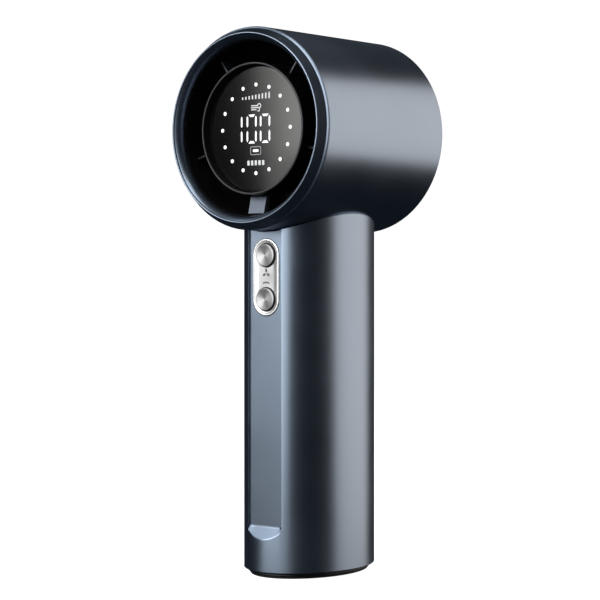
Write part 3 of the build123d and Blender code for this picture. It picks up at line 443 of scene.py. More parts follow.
def spun_finish_with_painted_sheen(name, centre_z, colour, rough):
    """Metal turned on a lathe: fine rings about its own centre, with lighter and darker sectors painted in as the
    cone-shaped highlight of spun metal.
    """
    made, tree, shader = material(name)
    coords = tree.nodes.new("ShaderNodeTexCoord")
    mapping = add(tree, "ShaderNodeMapping", {"Location": (0, 0, -centre_z)})
    parts = tree.nodes.new("ShaderNodeSeparateXYZ")
    # painted highlight: the colour runs lighter and darker in sectors twice round the centre, standing in for the
    # cone-shaped sheen; the fine rings below are real relief
    angle = add(tree, "ShaderNodeMath", operation="ARCTAN2")
    double = add(tree, "ShaderNodeMath", {1: 2.0, 2: 1.2}, operation="MULTIPLY_ADD")
    painted_sheen_swing = add(tree, "ShaderNodeMath", operation="SINE")
    level = add(tree, "ShaderNodeMapRange", {"From Min": -1.0})
    ramp = ramp_between(tree, 0.1, scaled(colour, 0.5), 0.9, scaled(colour, 1.15))
    flat = tree.nodes.new("ShaderNodeCombineXYZ")
    length = add(tree, "ShaderNodeVectorMath", operation="LENGTH")
    rings = add(tree, "ShaderNodeMath", {1: 26000.0}, operation="MULTIPLY")
    wave = add(tree, "ShaderNodeMath", operation="SINE")
    wire(
        tree,
        (coords.outputs["Object"], mapping.inputs["Vector"]), (mapping.outputs["Vector"], parts.inputs[0]),
        (parts.outputs["Z"], angle.inputs[0]), (parts.outputs["X"], angle.inputs[1]),
        (angle.outputs[0], double.inputs[0]), (double.outputs[0], painted_sheen_swing.inputs[0]),
        (painted_sheen_swing.outputs[0], level.inputs["Value"]), (level.outputs["Result"], ramp.inputs["Fac"]),
        (ramp.outputs["Color"], shader.inputs["Base Color"]), (parts.outputs["X"], flat.inputs["X"]),
        (parts.outputs["Z"], flat.inputs["Z"]), (flat.outputs[0], length.inputs[0]),
        (length.outputs["Value"], rings.inputs[0]), (rings.outputs[0], wave.inputs[0]),
    )
    relief(tree, shader, wave.outputs[0], 0.35, 0.00002)
    shader.inputs["Metallic"].default_value = 1.0
    shader.inputs["Roughness"].default_value = rough
    return made


def lit_finish(name, colour, strength):
    """A lit symbol, a little brighter where the diode behind it sits."""
    made, tree, shader = material(name)
    cloud = grain(tree, 900, 1.0)
    tree.links.new(tint(tree, cloud, scaled(colour, 0.86), colour), shader.inputs["Emission Color"])
    shader.inputs["Base Color"].default_value = (*scaled(colour, 0.3), 1)
    shader.inputs["Emission Strength"].default_value = strength
    shader.inputs["Roughness"].default_value = 0.4
    return made


def banded_finish(name, colour, other, scale, axis, metal, rough):
    """Bands across one axis, as on stacked laminations, wound wire and printed tracks."""
    made, tree, shader = material(name)
    coords = tree.nodes.new("ShaderNodeTexCoord")
    wave = tree.nodes.new("ShaderNodeTexWave")
    wave.bands_direction = axis
    wave.inputs["Scale"].default_value = scale
    wave.inputs["Distortion"].default_value = 0.6
    wave.inputs["Detail"].default_value = 1.0
    tree.links.new(coords.outputs["Object"], wave.inputs["Vector"])
    tree.links.new(tint(tree, wave.outputs["Fac"], colour, other), shader.inputs["Base Color"])
    relief(tree, shader, wave.outputs["Fac"], 0.4, 0.00005)
    shader.inputs["Metallic"].default_value = metal
    shader.inputs["Roughness"].default_value = rough
    return made


def board_finish(name, colour, copper):
    """A circuit board: solder mask over tracks that show as a raised, lighter pattern."""
    made, tree, shader = material(name)
    coords = tree.nodes.new("ShaderNodeTexCoord")
    cells = tree.nodes.new("ShaderNodeTexVoronoi")
    cells.distance = "MANHATTAN"
    cells.feature = "F1"
    cells.inputs["Scale"].default_value = 420
    tree.links.new(coords.outputs["Object"], cells.inputs["Vector"])
    tree.links.new(tint(tree, cells.outputs["Distance"], copper, colour), shader.inputs["Base Color"])
    relief(tree, shader, cells.outputs["Distance"], 0.25, 0.00006)
    shader.inputs["Roughness"].default_value = 0.32
    return made


def make_finishes(looks):
    """Every finish of the blower, by name."""
    black = (0.0014, 0.0014, 0.0017)
    made = {
        "anodised": anodised_finish(tuple(looks.metal_colour), looks.metal_roughness),
        "polished": plain_finish("polished ring", (0.93, 0.93, 0.94), 1.0, 0.26, 60, 2500, 0.03, 0.03),
        "satin": plain_finish("satin plate", (0.66, 0.66, 0.67), 1.0, 0.34, 60, 2600, 0.35, 0.06,
                              stretch=(1, 1, 0.08)),
        "steel": plain_finish("machined steel", (0.56, 0.57, 0.58), 1.0, 0.28, 120, 3000, 0.12),
        "strut": plain_finish("brushed strut", (0.125, 0.145, 0.18), 0.85, 0.42, 90, 2400, 0.35, 0.08,
                              stretch=(1, 1, 0.1)),
        "rib": plain_finish("dark rib", (0.035, 0.038, 0.044), 0.5, 0.34, 60, 3000, 0.2, 0.1),
        "duct": dull(plain_finish("black duct", black, 0.0, 0.5, 60, 3200, 0.3, 0.2), 0.2),
        "rim": plain_finish("display rim", (0.030, 0.030, 0.032), 0.35, 0.36, 60, 3000, 0.12, 0.1),
        "face": plain_finish("smoked face", (0.0022, 0.0022, 0.0023), 0.0, 0.13, 25, 1800, 0.012, 0.15),
        "symbol": lit_finish("lit symbols", (1.0, 1.0, 1.0), 1.15),
        "mark": lit_finish("lit marks", (0.82, 0.84, 0.86), 0.7),
        "dim mark": lit_finish("dim marks", (0.82, 0.84, 0.86), 0.1),
        "base": plain_finish("base plastic", (0.008, 0.0085, 0.010), 0.0, 0.38, 60, 2600, 0.25, 0.15),
        "rubber": plain_finish("foot rubber", (0.010, 0.010, 0.010), 0.0, 0.62, 80, 1700, 0.55, 0.2),
        "fan": plain_finish("fan plastic", (0.016, 0.017, 0.020), 0.0, 0.40, 60, 2400, 0.2, 0.15),
        "socket": plain_finish("socket plastic", (0.020, 0.021, 0.024), 0.0, 0.42, 60, 2200, 0.3, 0.15),
        "frame": plain_finish("frame plastic", (0.022, 0.024, 0.027), 0.0, 0.5, 60, 1800, 0.3, 0.15),
        "chip": plain_finish("component black", (0.012, 0.012, 0.012), 0.0, 0.55, 200, 4000, 0.3, 0.2),
        "white": plain_finish("light guide", (0.62, 0.62, 0.60), 0.0, 0.5, 90, 2400, 0.2, 0.06),
        "nickel": plain_finish("nickel plate", (0.60, 0.58, 0.54), 1.0, 0.30, 150, 2600, 0.15, 0.08),
        "magnet": plain_finish("plated magnet", (0.45, 0.45, 0.47), 1.0, 0.22, 150, 2600, 0.1, 0.08),
        "wrap": plain_finish("cell sleeve", (0.02, 0.09, 0.19), 0.0, 0.34, 60, 1500, 0.1, 0.12),
        "print": plain_finish("dark print", (0.12, 0.12, 0.125), 0.0, 0.5, 300, 5000, 0.2, 0.2),
        "wire": plain_finish("wire sleeve", (0.16, 0.012, 0.012), 0.0, 0.42, 200, 2400, 0.15, 0.15),
        "film": plain_finish("ribbon film", (0.30, 0.13, 0.02), 0.0, 0.25, 200, 3000, 0.06, 0.12),
        "copper": banded_finish("wound copper", (0.42, 0.14, 0.04), (0.62, 0.24, 0.08), 700, "Y", 1.0, 0.32),
        "lamination": banded_finish("laminations", (0.07, 0.07, 0.08), (0.16, 0.16, 0.17), 900, "Y", 1.0, 0.42),
        "board": board_finish("circuit board", (0.006, 0.045, 0.018), (0.02, 0.11, 0.045)),
        # both buttons' finishes carry painted highlight sectors besides their turned rings
        "upper spun": spun_finish_with_painted_sheen("spun upper button", button_centre("upper_button"), (0.44, 0.44, 0.45), 0.34),
        "lower spun": spun_finish_with_painted_sheen("spun lower button", button_centre("lower_button"), (0.44, 0.44, 0.45), 0.34),
    }
    return made


FINISH = {}


def button_centre(node):
    """Height of a button's middle."""
    low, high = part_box(node)
    return (low.z + high.z) / 2


# ------------------------------------------------------------------ settings
class BlowerLooks(bpy.types.PropertyGroup):
    """Colours and gloss of the outer finishes."""

    metal_colour: FloatVectorProperty(
        name="Metal colour", description="Dye of the anodised shells", subtype="COLOR",
        default=(0.25, 0.308, 0.39), min=0, max=1,
    )
    metal_roughness: FloatProperty(
        name="Metal roughness", description="How wide the metal spreads a highlight",
        default=0.31, min=0.05, max=1,
    )


class BlowerSizes(bpy.types.PropertyGroup):
    """Sizes of what the frame leaves open."""

    wall: FloatProperty(
        name="Shell wall", description="Thickness of the head's shell", default=1.5 * MM, unit="LENGTH"
    )
    seam: FloatProperty(
        name="Seam", description="Gap between the head and its neighbours", default=0.15 * MM, unit="LENGTH"
    )
    edge: FloatProperty(
        name="Edge break", description="Width of the polished edge breaks", default=0.28 * MM, unit="LENGTH"
    )
    panel_half_width: FloatProperty(
        name="Panel half width", description="Half the thumb panel's width", default=6.35 * MM, unit="LENGTH"
    )
    panel_foot: FloatProperty(
        name="Panel foot", description="Height at which the panel's flat ends",
        default=15.0 * MM, unit="LENGTH",
    )
    scoop: FloatProperty(
        name="Scoop", description="Length of the ramp below the panel", default=3.4 * MM, unit="LENGTH"
    )
    dot_count: IntProperty(name="Dots", description="Lit dots round the read-out", default=16, min=3, max=60)
    dot_ring: FloatProperty(
        name="Dot ring", description="Radius of the ring of dots", default=13.1 * MM, unit="LENGTH"
    )
    dot_radius: FloatProperty(
        name="Dot radius", description="Radius of a lit dot", default=0.58 * MM, unit="LENGTH"
    )
    blade_count: IntProperty(name="Blades", description="Blades on the impeller", default=9, min=3, max=30)
    vane_count: IntProperty(name="Vanes", description="Vanes that hold the motor", default=8, min=3, max=30)
    guard_spokes: IntProperty(
        name="Guard spokes", description="Spokes of the outlet guard", default=6, min=3, max=24
    )


class BlowerStage(bpy.types.PropertyGroup):
    """The studio."""

    focal: FloatProperty(name="Focal length", description="Camera lens, in millimetres", default=114.94)
    azimuth: FloatProperty(
        name="Azimuth", description="Direction of the camera round the grip",
        default=radians(38.75), subtype="ANGLE",
    )
    distance: FloatProperty(
        name="Distance", description="From the grip's axis to the camera", default=0.5859, unit="LENGTH"
    )
    eye_height: FloatProperty(
        name="Eye height", description="Height of the camera above the floor", default=0.0921, unit="LENGTH"
    )
    key_power: FloatProperty(name="Key light", description="Power of the front softbox, in watts", default=8.6)
    glint_power: FloatProperty(
        name="Glint", description="Power of the narrow box seen in the display", default=1.1
    )
    fill_power: FloatProperty(name="Fill", description="Power of the softbox on the left, in watts", default=1.0)
    top_power: FloatProperty(
        name="Top lights",
        description="Power of the strip above the front, in watts; the rear one has about a third of it",
        default=1.6,
    )
    rim_power: FloatProperty(name="Rim light", description="Power of the rear softbox, in watts", default=4.6)


# ------------------------------------------------------------------ head
def arc(centre_y, centre_r, radius, start, end, count=8):
    """(y, radius) points of an arc; angles in degrees, 0 along +Y and 90 away from the axis."""
    points = []
    for k in range(count + 1):
        angle = radians(start + (end - start) * k / count)
        points.append((centre_y + radius * cos(angle), centre_r + radius * sin(angle)))
    return points


class BLOWER_OT_head(bpy.types.Operator):
    """Makes the head's shell, the tapered lip at the intake and the nozzle socket at the outlet"""

    bl_idname = "blower.head"
    bl_label = "Head"

    def execute(self, context):
        sizes = context.scene.blower_sizes
        edge, inner = sizes.edge, HEAD_R - sizes.wall
        turned("head_casing", rounded([
            (HEAD_REAR, inner, 0), (HEAD_REAR, HEAD_R, edge),
            (HEAD_FRONT, HEAD_R, edge * 1.6), (HEAD_FRONT, inner, 0),
        ], 5), "anodised", ["head_shell"], segments=256)

        seam_y = HEAD_REAR - sizes.seam
        shoulder, drop, taper = 0.36 * MM, 0.62 * MM, 27.0
        land, bell, bell_turn = 0.3 * MM, 4.15 * MM, 53.8
        throat_y = LIP_Y + land + bell * sin(radians(bell_turn))
        crest_r = HEAD_R - drop - (seam_y - shoulder - LIP_Y - land) * tan(radians(taper))
        mouth = arc(throat_y, THROAT_R + bell, bell, 270 - bell_turn, 270, 14)
        bead = (crest_r - mouth[0][1]) / 2
        crest = arc(LIP_Y + land, crest_r - bead, bead, 90, 270, 10)
        collar = HEAD_R - sizes.wall - SLIP
        outline = rounded([
            (COLLAR_Y, collar, 0), (seam_y + 0.05 * MM, collar, 0), (seam_y, collar, 0),
            (seam_y, HEAD_R, 0.06 * MM), (seam_y - shoulder, HEAD_R - drop, 0.1 * MM),
        ] + [(y, r, 0) for y, r in crest[:-1] + mouth] + [
            (throat_y, collar - 1.25 * MM, 0), (COLLAR_Y, collar - 1.25 * MM, 0),
        ], 4)
        turned("intake_lip", outline, "anodised", ["intake_bezel"], segments=256)

        bore = ring_high.x
        turned("nozzle_socket", rounded([
            (ring_low.y, FAN_BORE, 0), (ring_low.y, bore, 0), (ring_high.y, bore, 0.15 * MM),
            (ring_high.y, bore - 1.2 * MM, 0.3 * MM), (ring_high.y - 0.5 * MM, 22.55 * MM, 0.3 * MM),
            (ring_high.y - 1.0 * MM, SOCKET_R, 0.2 * MM), (ring_high.y - 7.0 * MM, SOCKET_R, 0.15 * MM),
            (ring_high.y - 7.0 * MM, FAN_BORE, 0.2 * MM),
        ], 4), "socket", ["outlet_ring"])
        return {"FINISHED"}


def block(name, low, high, width, segments=2):
    """A block between two corners with its edges broken."""
    bm = bmesh.new()
    bmesh.ops.create_cube(bm, size=1.0)
    for v in bm.verts:
        v.co = Vector(tuple(low[i] + (high[i] - low[i]) * (v.co[i] + 0.5) for i in range(3)))
    return soften(object_from(name, bm), width, segments)


def leave_out(obj, half_width, below):
    """Removes the part of a repeat that stands straight down."""
    bm = bmesh.new()
    bm.from_mesh(obj.data)
    gone = [v for v in bm.verts if abs(v.co.x) < half_width and v.co.z < below]
    bmesh.ops.delete(bm, geom=gone, context="VERTS")
    bm.to_mesh(obj.data)
    bm.free()


def lean_back(obj, before, z_low, z_high, depth):
    """Leans everything in front of a plane away from the front, more and more towards the top."""
    for v in obj.data.vertices:
        if v.co.y < before:
            v.co.y += depth * min(max((v.co.z - z_low) / (z_high - z_low), 0), 1)
    obj.data.update()


class BLOWER_OT_intake(bpy.types.Operator):
    """Makes the black duct, the display's cup, the five struts and the metal cover of the wide one"""

    bl_idname = "blower.intake"
    bl_label = "Intake"

    def execute(self, context):
        step_y = COLLAR_Y + SLIP
        collar = LINER_OUTER - 1.3 * MM
        turned("intake_duct", rounded([
            (LINER_FRONT, THROAT_R, 0), (LINER_FRONT, collar, 0), (step_y, collar, 0), (step_y, LINER_OUTER, 0),
            (LINER_END, LINER_OUTER, 0), (LINER_END, FAN_BORE, 0.2 * MM), (LINER_END - 8.6 * MM, THROAT_R, 6 * MM),
        ], 8), "duct", ["intake_spider"])

        seat = LENS_REAR + SLIP
        turned("display_cup", rounded([
            (TRIM_REAR, POD_R - RIM_WALL, 0), (TRIM_REAR, POD_R, 0.05 * MM), (POD_REAR, POD_R, 0.3 * MM),
            (POD_REAR, 0, 0), (POD_REAR - 1.4 * MM, 0, 0), (POD_REAR - 1.4 * MM, POD_R - 2 * MM, 0),
            (seat, POD_R - 2 * MM, 0), (seat, POD_R - RIM_WALL, 0),
        ], 3), "duct", segments=160)

        front = cover_high.y
        root, tip = POD_R - 0.4 * MM, THROAT_R + 0.5 * MM
        half = 0.35 * MM
        rib = block("strut_rib", (-half, front, root), (half, POD_REAR, tip), 0.12 * MM)
        ribs = repeat(rib, 5, FINISH["rib"], radians(36))
        leave_out(ribs, 1 * MM, AXIS_Z)
        settle(ribs, None, "casing")
        wide, lean = cover_high.x, 1.3 * MM
        low, high = (-wide, front + 0.02 * MM, AXIS_Z - tip), (wide, POD_REAR, AXIS_Z - root)
        strut = block("wide_strut", low, high, 0.2 * MM)
        lean_back(strut, front + 1 * MM, cover_low.z, cover_high.z, lean)
        settle(strut, FINISH["duct"], "casing")
        cover = block("strut_plate", cover_low, cover_high, 0.22 * MM, 3)
        lean_back(cover, front + 1 * MM, cover_low.z, cover_high.z, lean)
        settle(cover, FINISH["strut"], "casing", ["strut_cover"])
        return {"FINISHED"}


# ------------------------------------------------------------------ display
def face_y(x, z):
    """Depth of the display's slightly domed face at a place on it, from its centre."""
    share = min((x * x + z * z) / LENS_R ** 2, 1.0)
    return LENS_FRONT + DOME * share


def raised(bm, points, height=0.05 * MM):
    """A thin raised figure that follows the domed face. points are (x, z) from the display's centre."""
    low = [bm.verts.new((x, face_y(x, z) + 0.02 * MM, AXIS_Z + z)) for x, z in points]
    high = [bm.verts.new((x, face_y(x, z) - height, AXIS_Z + z)) for x, z in points]
    bm.faces.new(high)
    bm.faces.new(low[::-1])
    skin(bm, (low, high))


def bar(x, z, length, width, turn=0.0, point=0.5):
    """A bar with pointed ends, turned in degrees from upright."""
    tip = width * point
    half, side = length / 2, width / 2
    shape = [
        (0, half), (side, half - tip), (side, tip - half),
        (0, -half), (-side, tip - half), (-side, half - tip),
    ]
    c, s = cos(radians(turn)), sin(radians(turn))
    return [(x + a * c + b * s, z - a * s + b * c) for a, b in shape]


def ribbon_path(centre_x, centre_z, radius, start, end, width, count=10):
    """A curved stroke: an arc of the given width, angles in degrees."""
    outer, inner = [], []
    for k in range(count + 1):
        angle = radians(start + (end - start) * k / count)
        for ring, r in ((outer, radius + width / 2), (inner, radius - width / 2)):
            ring.append((centre_x + r * cos(angle), centre_z + r * sin(angle)))
    return outer + inner[::-1]


class BLOWER_OT_display(bpy.types.Operator):
    """Makes the display's rim, its smoked face, the lit read-out and the ring of dots"""

    bl_idname = "blower.display"
    bl_label = "Display"

    def execute(self, context):
        sizes = context.scene.blower_sizes
        inner = POD_R - RIM_WALL
        turned("display_rim", rounded([
            (TRIM_REAR, inner, 0), (TRIM_FRONT, inner, 0.2 * MM), (TRIM_FRONT, POD_R, 0.3 * MM),
            (TRIM_REAR, POD_R, 0),
        ], 5), "rim", ["display_trim"])

        steps = 24
        outline = [(LENS_REAR, 0), (LENS_REAR, LENS_R)]
        rim_roll = 0.5 * MM
        for a in range(0, 90, 15):
            s, c = sin(radians(a)), cos(radians(a))
            outline.append((LENS_FRONT + DOME + rim_roll * (1 - s), LENS_R - rim_roll * (1 - c)))
        for k in range(steps + 1):
            r = (LENS_R - rim_roll) * (1 - k / steps)
            outline.append((face_y(r, 0), r))
        turned("display_face", outline, "face", ["display_lens"], segments=160)

        dot = bmesh.new()
        ring, size = sizes.dot_ring, sizes.dot_radius
        y = face_y(ring, 0)
        turns = [ALL_ROUND * k / 20 for k in range(20)]
        rings = [
            [dot.verts.new((size * grow * cos(t), depth, ring + size * grow * sin(t))) for t in turns]
            for grow, depth in ((1.0, y + 0.05 * MM), (1.0, y - 0.03 * MM), (0.8, y - 0.06 * MM))
        ]
        skin(dot, rings)
        dot.faces.new(rings[0])
        dot.faces.new(rings[-1])
        dots = repeat(object_from("display_dots", dot), sizes.dot_count, FINISH["symbol"])
        settle(dots, None, "casing", ["display_symbols"])

        digits = bmesh.new()
        stroke, length = 0.58 * MM, 3.3 * MM
        rise = 2.18 * MM
        for x in (-5.45, -3.2, 0.1, 1.95, 5.3):
            for side in (1, -1):
                raised(digits, bar(x * MM, side * rise, length, stroke, 0, 0.8))
        for x in (-1.5, 3.7):
            for side in (1, -1):
                z = side * 4.0 * MM
                wide, slim = 1.25 * MM, 0.62 * MM
                raised(digits, [(x * MM - wide, z + side * 0.28 * MM), (x * MM + wide, z + side * 0.28 * MM),
                                (x * MM + slim, z - side * 0.42 * MM), (x * MM - slim, z - side * 0.42 * MM)])
        settle(object_from("display_digits", digits, False), FINISH["symbol"], "casing")

        signs = bmesh.new()
        for k, (reach, x) in enumerate(((2.6, -0.55), (3.3, -0.2), (2.1, -0.7))):
            z = (6.85 - 0.6 * k) * MM
            raised(signs, bar(x * MM, z, reach * MM, 0.3 * MM, 90))
        raised(signs, ribbon_path(1.35 * MM, 6.75 * MM, 0.62 * MM, -80, 190, 0.3 * MM))
        raised(signs, ribbon_path(1.1 * MM, 5.6 * MM, 0.42 * MM, 80, -150, 0.3 * MM))
        for k in range(9):
            middle, tall = (9.15 + 0.07 * k) * MM, (0.75 + 0.14 * k) * MM
            raised(signs, bar((k - 4) * 1.28 * MM, middle, tall, 0.5 * MM, 0, 0.1))
        for k in range(5):
            raised(signs, bar((k - 2) * 1.42 * MM, -10.05 * MM, 1.5 * MM, 0.85 * MM, 0, 0.1))
        settle(object_from("display_signs", signs, False), FINISH["mark"], "casing")
        cell = bmesh.new()
        frame_z = -6.45 * MM
        box = [(-1.95, -1.15), (1.95, -1.15), (1.95, 1.15), (-1.95, 1.15)]
        for (x0, z0), (x1, z1) in zip(box, box[1:] + box[:1]):
            middle = ((x0 + x1) / 2 * MM, frame_z + (z0 + z1) / 2 * MM)
            run = (abs(x1 - x0) + abs(z1 - z0)) * MM
            raised(cell, bar(*middle, run, 0.28 * MM, 90 if z0 == z1 else 0))
        settle(object_from("battery_sign", cell, False), FINISH["dim mark"], "casing")
        charge = bmesh.new()
        raised(charge, bar(0, frame_z, 2.3 * MM, 0.75 * MM, 90, 0.3))
        settle(object_from("charge_bar", charge, False), FINISH["symbol"], "casing")
        return {"FINISHED"}


# ------------------------------------------------------------------ fan and motor
class BLOWER_OT_fan(bpy.types.Operator):
    """Makes the fan's housing and vanes, the motor's caps, the bladed impeller and the outlet guard"""

    bl_idname = "blower.fan"
    bl_label = "Fan"

    def execute(self, context):
        sizes = context.scene.blower_sizes
        bore = FAN_BORE
        barrel = cap_high.x
        barrel_rear = housing_low.y + BARREL_START
        barrel_front = cap_high.y - 2.9 * MM
        turned("fan_tube", rounded([
            (housing_low.y, bore, 0.3 * MM), (housing_low.y, FAN_OUTER, 0), (housing_high.y, FAN_OUTER, 0),
            (housing_high.y, bore, 0.3 * MM),
        ], 3), "fan", ["fan_housing"], segments=160)
        turned("motor_barrel", rounded([
            (barrel_rear, 3.5 * MM, 0), (barrel_rear, barrel, 0.8 * MM), (barrel_front, barrel, 0),
            (barrel_front, barrel - 1.2 * MM, 0), (barrel_rear + 2.9 * MM, barrel - 1.2 * MM, 0),
            (barrel_rear + 2.9 * MM, 3.5 * MM, 0),
        ], 4), "fan", segments=128)
        dome_foot, dome_rise = barrel_front + 0.05 * MM, 2.85 * MM
        dome = [(dome_foot + dome_rise * cos(radians(a)), barrel * sin(radians(a))) for a in range(0, 91, 6)]
        dome += [
            (dome_foot, barrel - 1.0 * MM), (barrel_front - 0.2 * MM, 2.92 * MM), (barrel_front + 0.9 * MM, 0),
        ]
        turned("motor_dome", dome, "steel", ["motor_cap"], segments=128)

        vane = bmesh.new()
        rows = []
        for r in (barrel - 0.3 * MM, bore + 0.2 * MM):
            outline = []
            for side, shares in ((1, range(12)), (-1, range(11, -1, -1))):
                for k in shares:
                    t = k / 11
                    bow = 1.6 * MM * sin(pi * t) * 0.5
                    thick = side * (0.42 * MM * sin(pi * t) ** 0.5)
                    outline.append((bow + thick + side * 0.05 * MM, barrel_rear + 1.2 * MM + t * 11.0 * MM))
            rows.append([vane.verts.new((x, y, r)) for x, y in outline])
        skin(vane, rows)
        vane.faces.new(rows[0])
        vane.faces.new(rows[1])
        vanes = repeat(object_from("stator_vanes", vane), sizes.vane_count, FINISH["fan"])
        settle(vanes, None, "casing")

        tail = [(POD_REAR, POD_R)]
        reach = TAIL_END - POD_REAR
        for a in range(10, 91, 8):
            s, c = sin(radians(a)), cos(radians(a))
            tail.append((POD_REAR + reach * s, POD_R - (POD_R - 5.0 * MM) * (1 - c)))
        tail += [(TAIL_END, 0), (POD_REAR, 0)]
        turned("pod_cone", tail, "duct", ["pod_tail"], segments=160)

        self.impeller(sizes)
        self.guard(sizes)
        return {"FINISHED"}

    def impeller(self, sizes):
        """The turning hub and its twisted blades."""
        rear, front = impeller_low.y, impeller_high.y
        hub = 10.4 * MM
        outline = [(rear, 0)]
        for a in range(0, 91, 10):
            s, c = sin(radians(a)), cos(radians(a))
            outline.append((rear + 7.4 * MM * (1 - c) * 0.98 + 0.02 * MM, 2.6 * MM + (hub - 2.6 * MM) * s))
        outline += [(front, hub), (front, 8.8 * MM), (rear + 7.0 * MM, 8.6 * MM), (rear + 5.5 * MM, 0)]
        turned("impeller_hub", outline, "fan", ["impeller"], segments=96, body="rotor")
        blade = bmesh.new()
        sections = []
        centre = front - 5.1 * MM
        reach = 20.45 * MM
        for k in range(8):
            share = k / 7
            r = 7.0 * MM + share * (reach - 7.0 * MM)
            pitch = radians(36 + 20 * share)
            chord = (9.6 - 2.8 * share) * MM
            outline = []
            for j in range(20):
                t = ALL_ROUND * j / 20
                along = chord / 2 * cos(t)
                camber = 0.7 * MM * (1 - (2 * along / chord) ** 2)
                across = (0.42 - 0.14 * share) * MM * sin(t) + camber
                outline.append((
                    -across * cos(pitch) + along * sin(pitch), centre + across * sin(pitch) + along * cos(pitch)
                ))
            ring = []
            for x, y in outline:
                kept = min(max(y, rear + 0.9 * MM), front - 0.3 * MM)
                ring.append(blade.verts.new((x, kept, sqrt(max(r * r - x * x, 0)))))
            sections.append(ring)
        skin(blade, sections)
        blade.faces.new(sections[0])
        blade.faces.new(sections[-1])
        blades = repeat(object_from("impeller_blades", blade), sizes.blade_count, FINISH["fan"])
        settle(blades, None, "rotor")

    def guard(self, sizes):
        """Three thin rings and their spokes in front of the fan."""
        y0, y1 = guard_low.y, guard_high.y
        outer = guard_high.x
        bar_width = 0.8 * MM
        radii = (cap_high.x + 1.2 * MM, (cap_high.x + FAN_BORE) / 2 + 0.4 * MM, outer - bar_width / 2)
        spoke = block("guard_spokes", (-bar_width / 2, y0, radii[0]), (bar_width / 2, y1, radii[2]), 0.2 * MM)
        spokes = repeat(spoke, sizes.guard_spokes, FINISH["fan"])
        settle(spokes, None, "casing", ["outlet_guard"])
        for k, radius in enumerate(radii):
            turned(f"guard_ring_{k + 1}", rounded([
                (y0, radius - bar_width / 2, 0.2 * MM), (y0, radius + bar_width / 2, 0.2 * MM),
                (y1, radius + bar_width / 2, 0.2 * MM), (y1, radius - bar_width / 2, 0.2 * MM),
            ], 3), "fan", segments=128)


# ------------------------------------------------------------------ grip
def saddle_z(x, seam):
    """Height at which the grip meets the head, at a place across it."""
    return AXIS_Z - sqrt((HEAD_R + seam) ** 2 - x * x)


def cut(obj, cutter):
    """Takes the cutter's shape out of the object."""
    boolean = obj.modifiers.new("cut", "BOOLEAN")
    boolean.operation = "DIFFERENCE"
    boolean.solver = "EXACT"
    boolean.object = cutter
    make_plain(obj)
    mesh = cutter.data
    bpy.data.objects.remove(cutter)
    bpy.data.meshes.remove(mesh)
    obj.data.set_sharp_from_angle(angle=radians(30))
    return obj


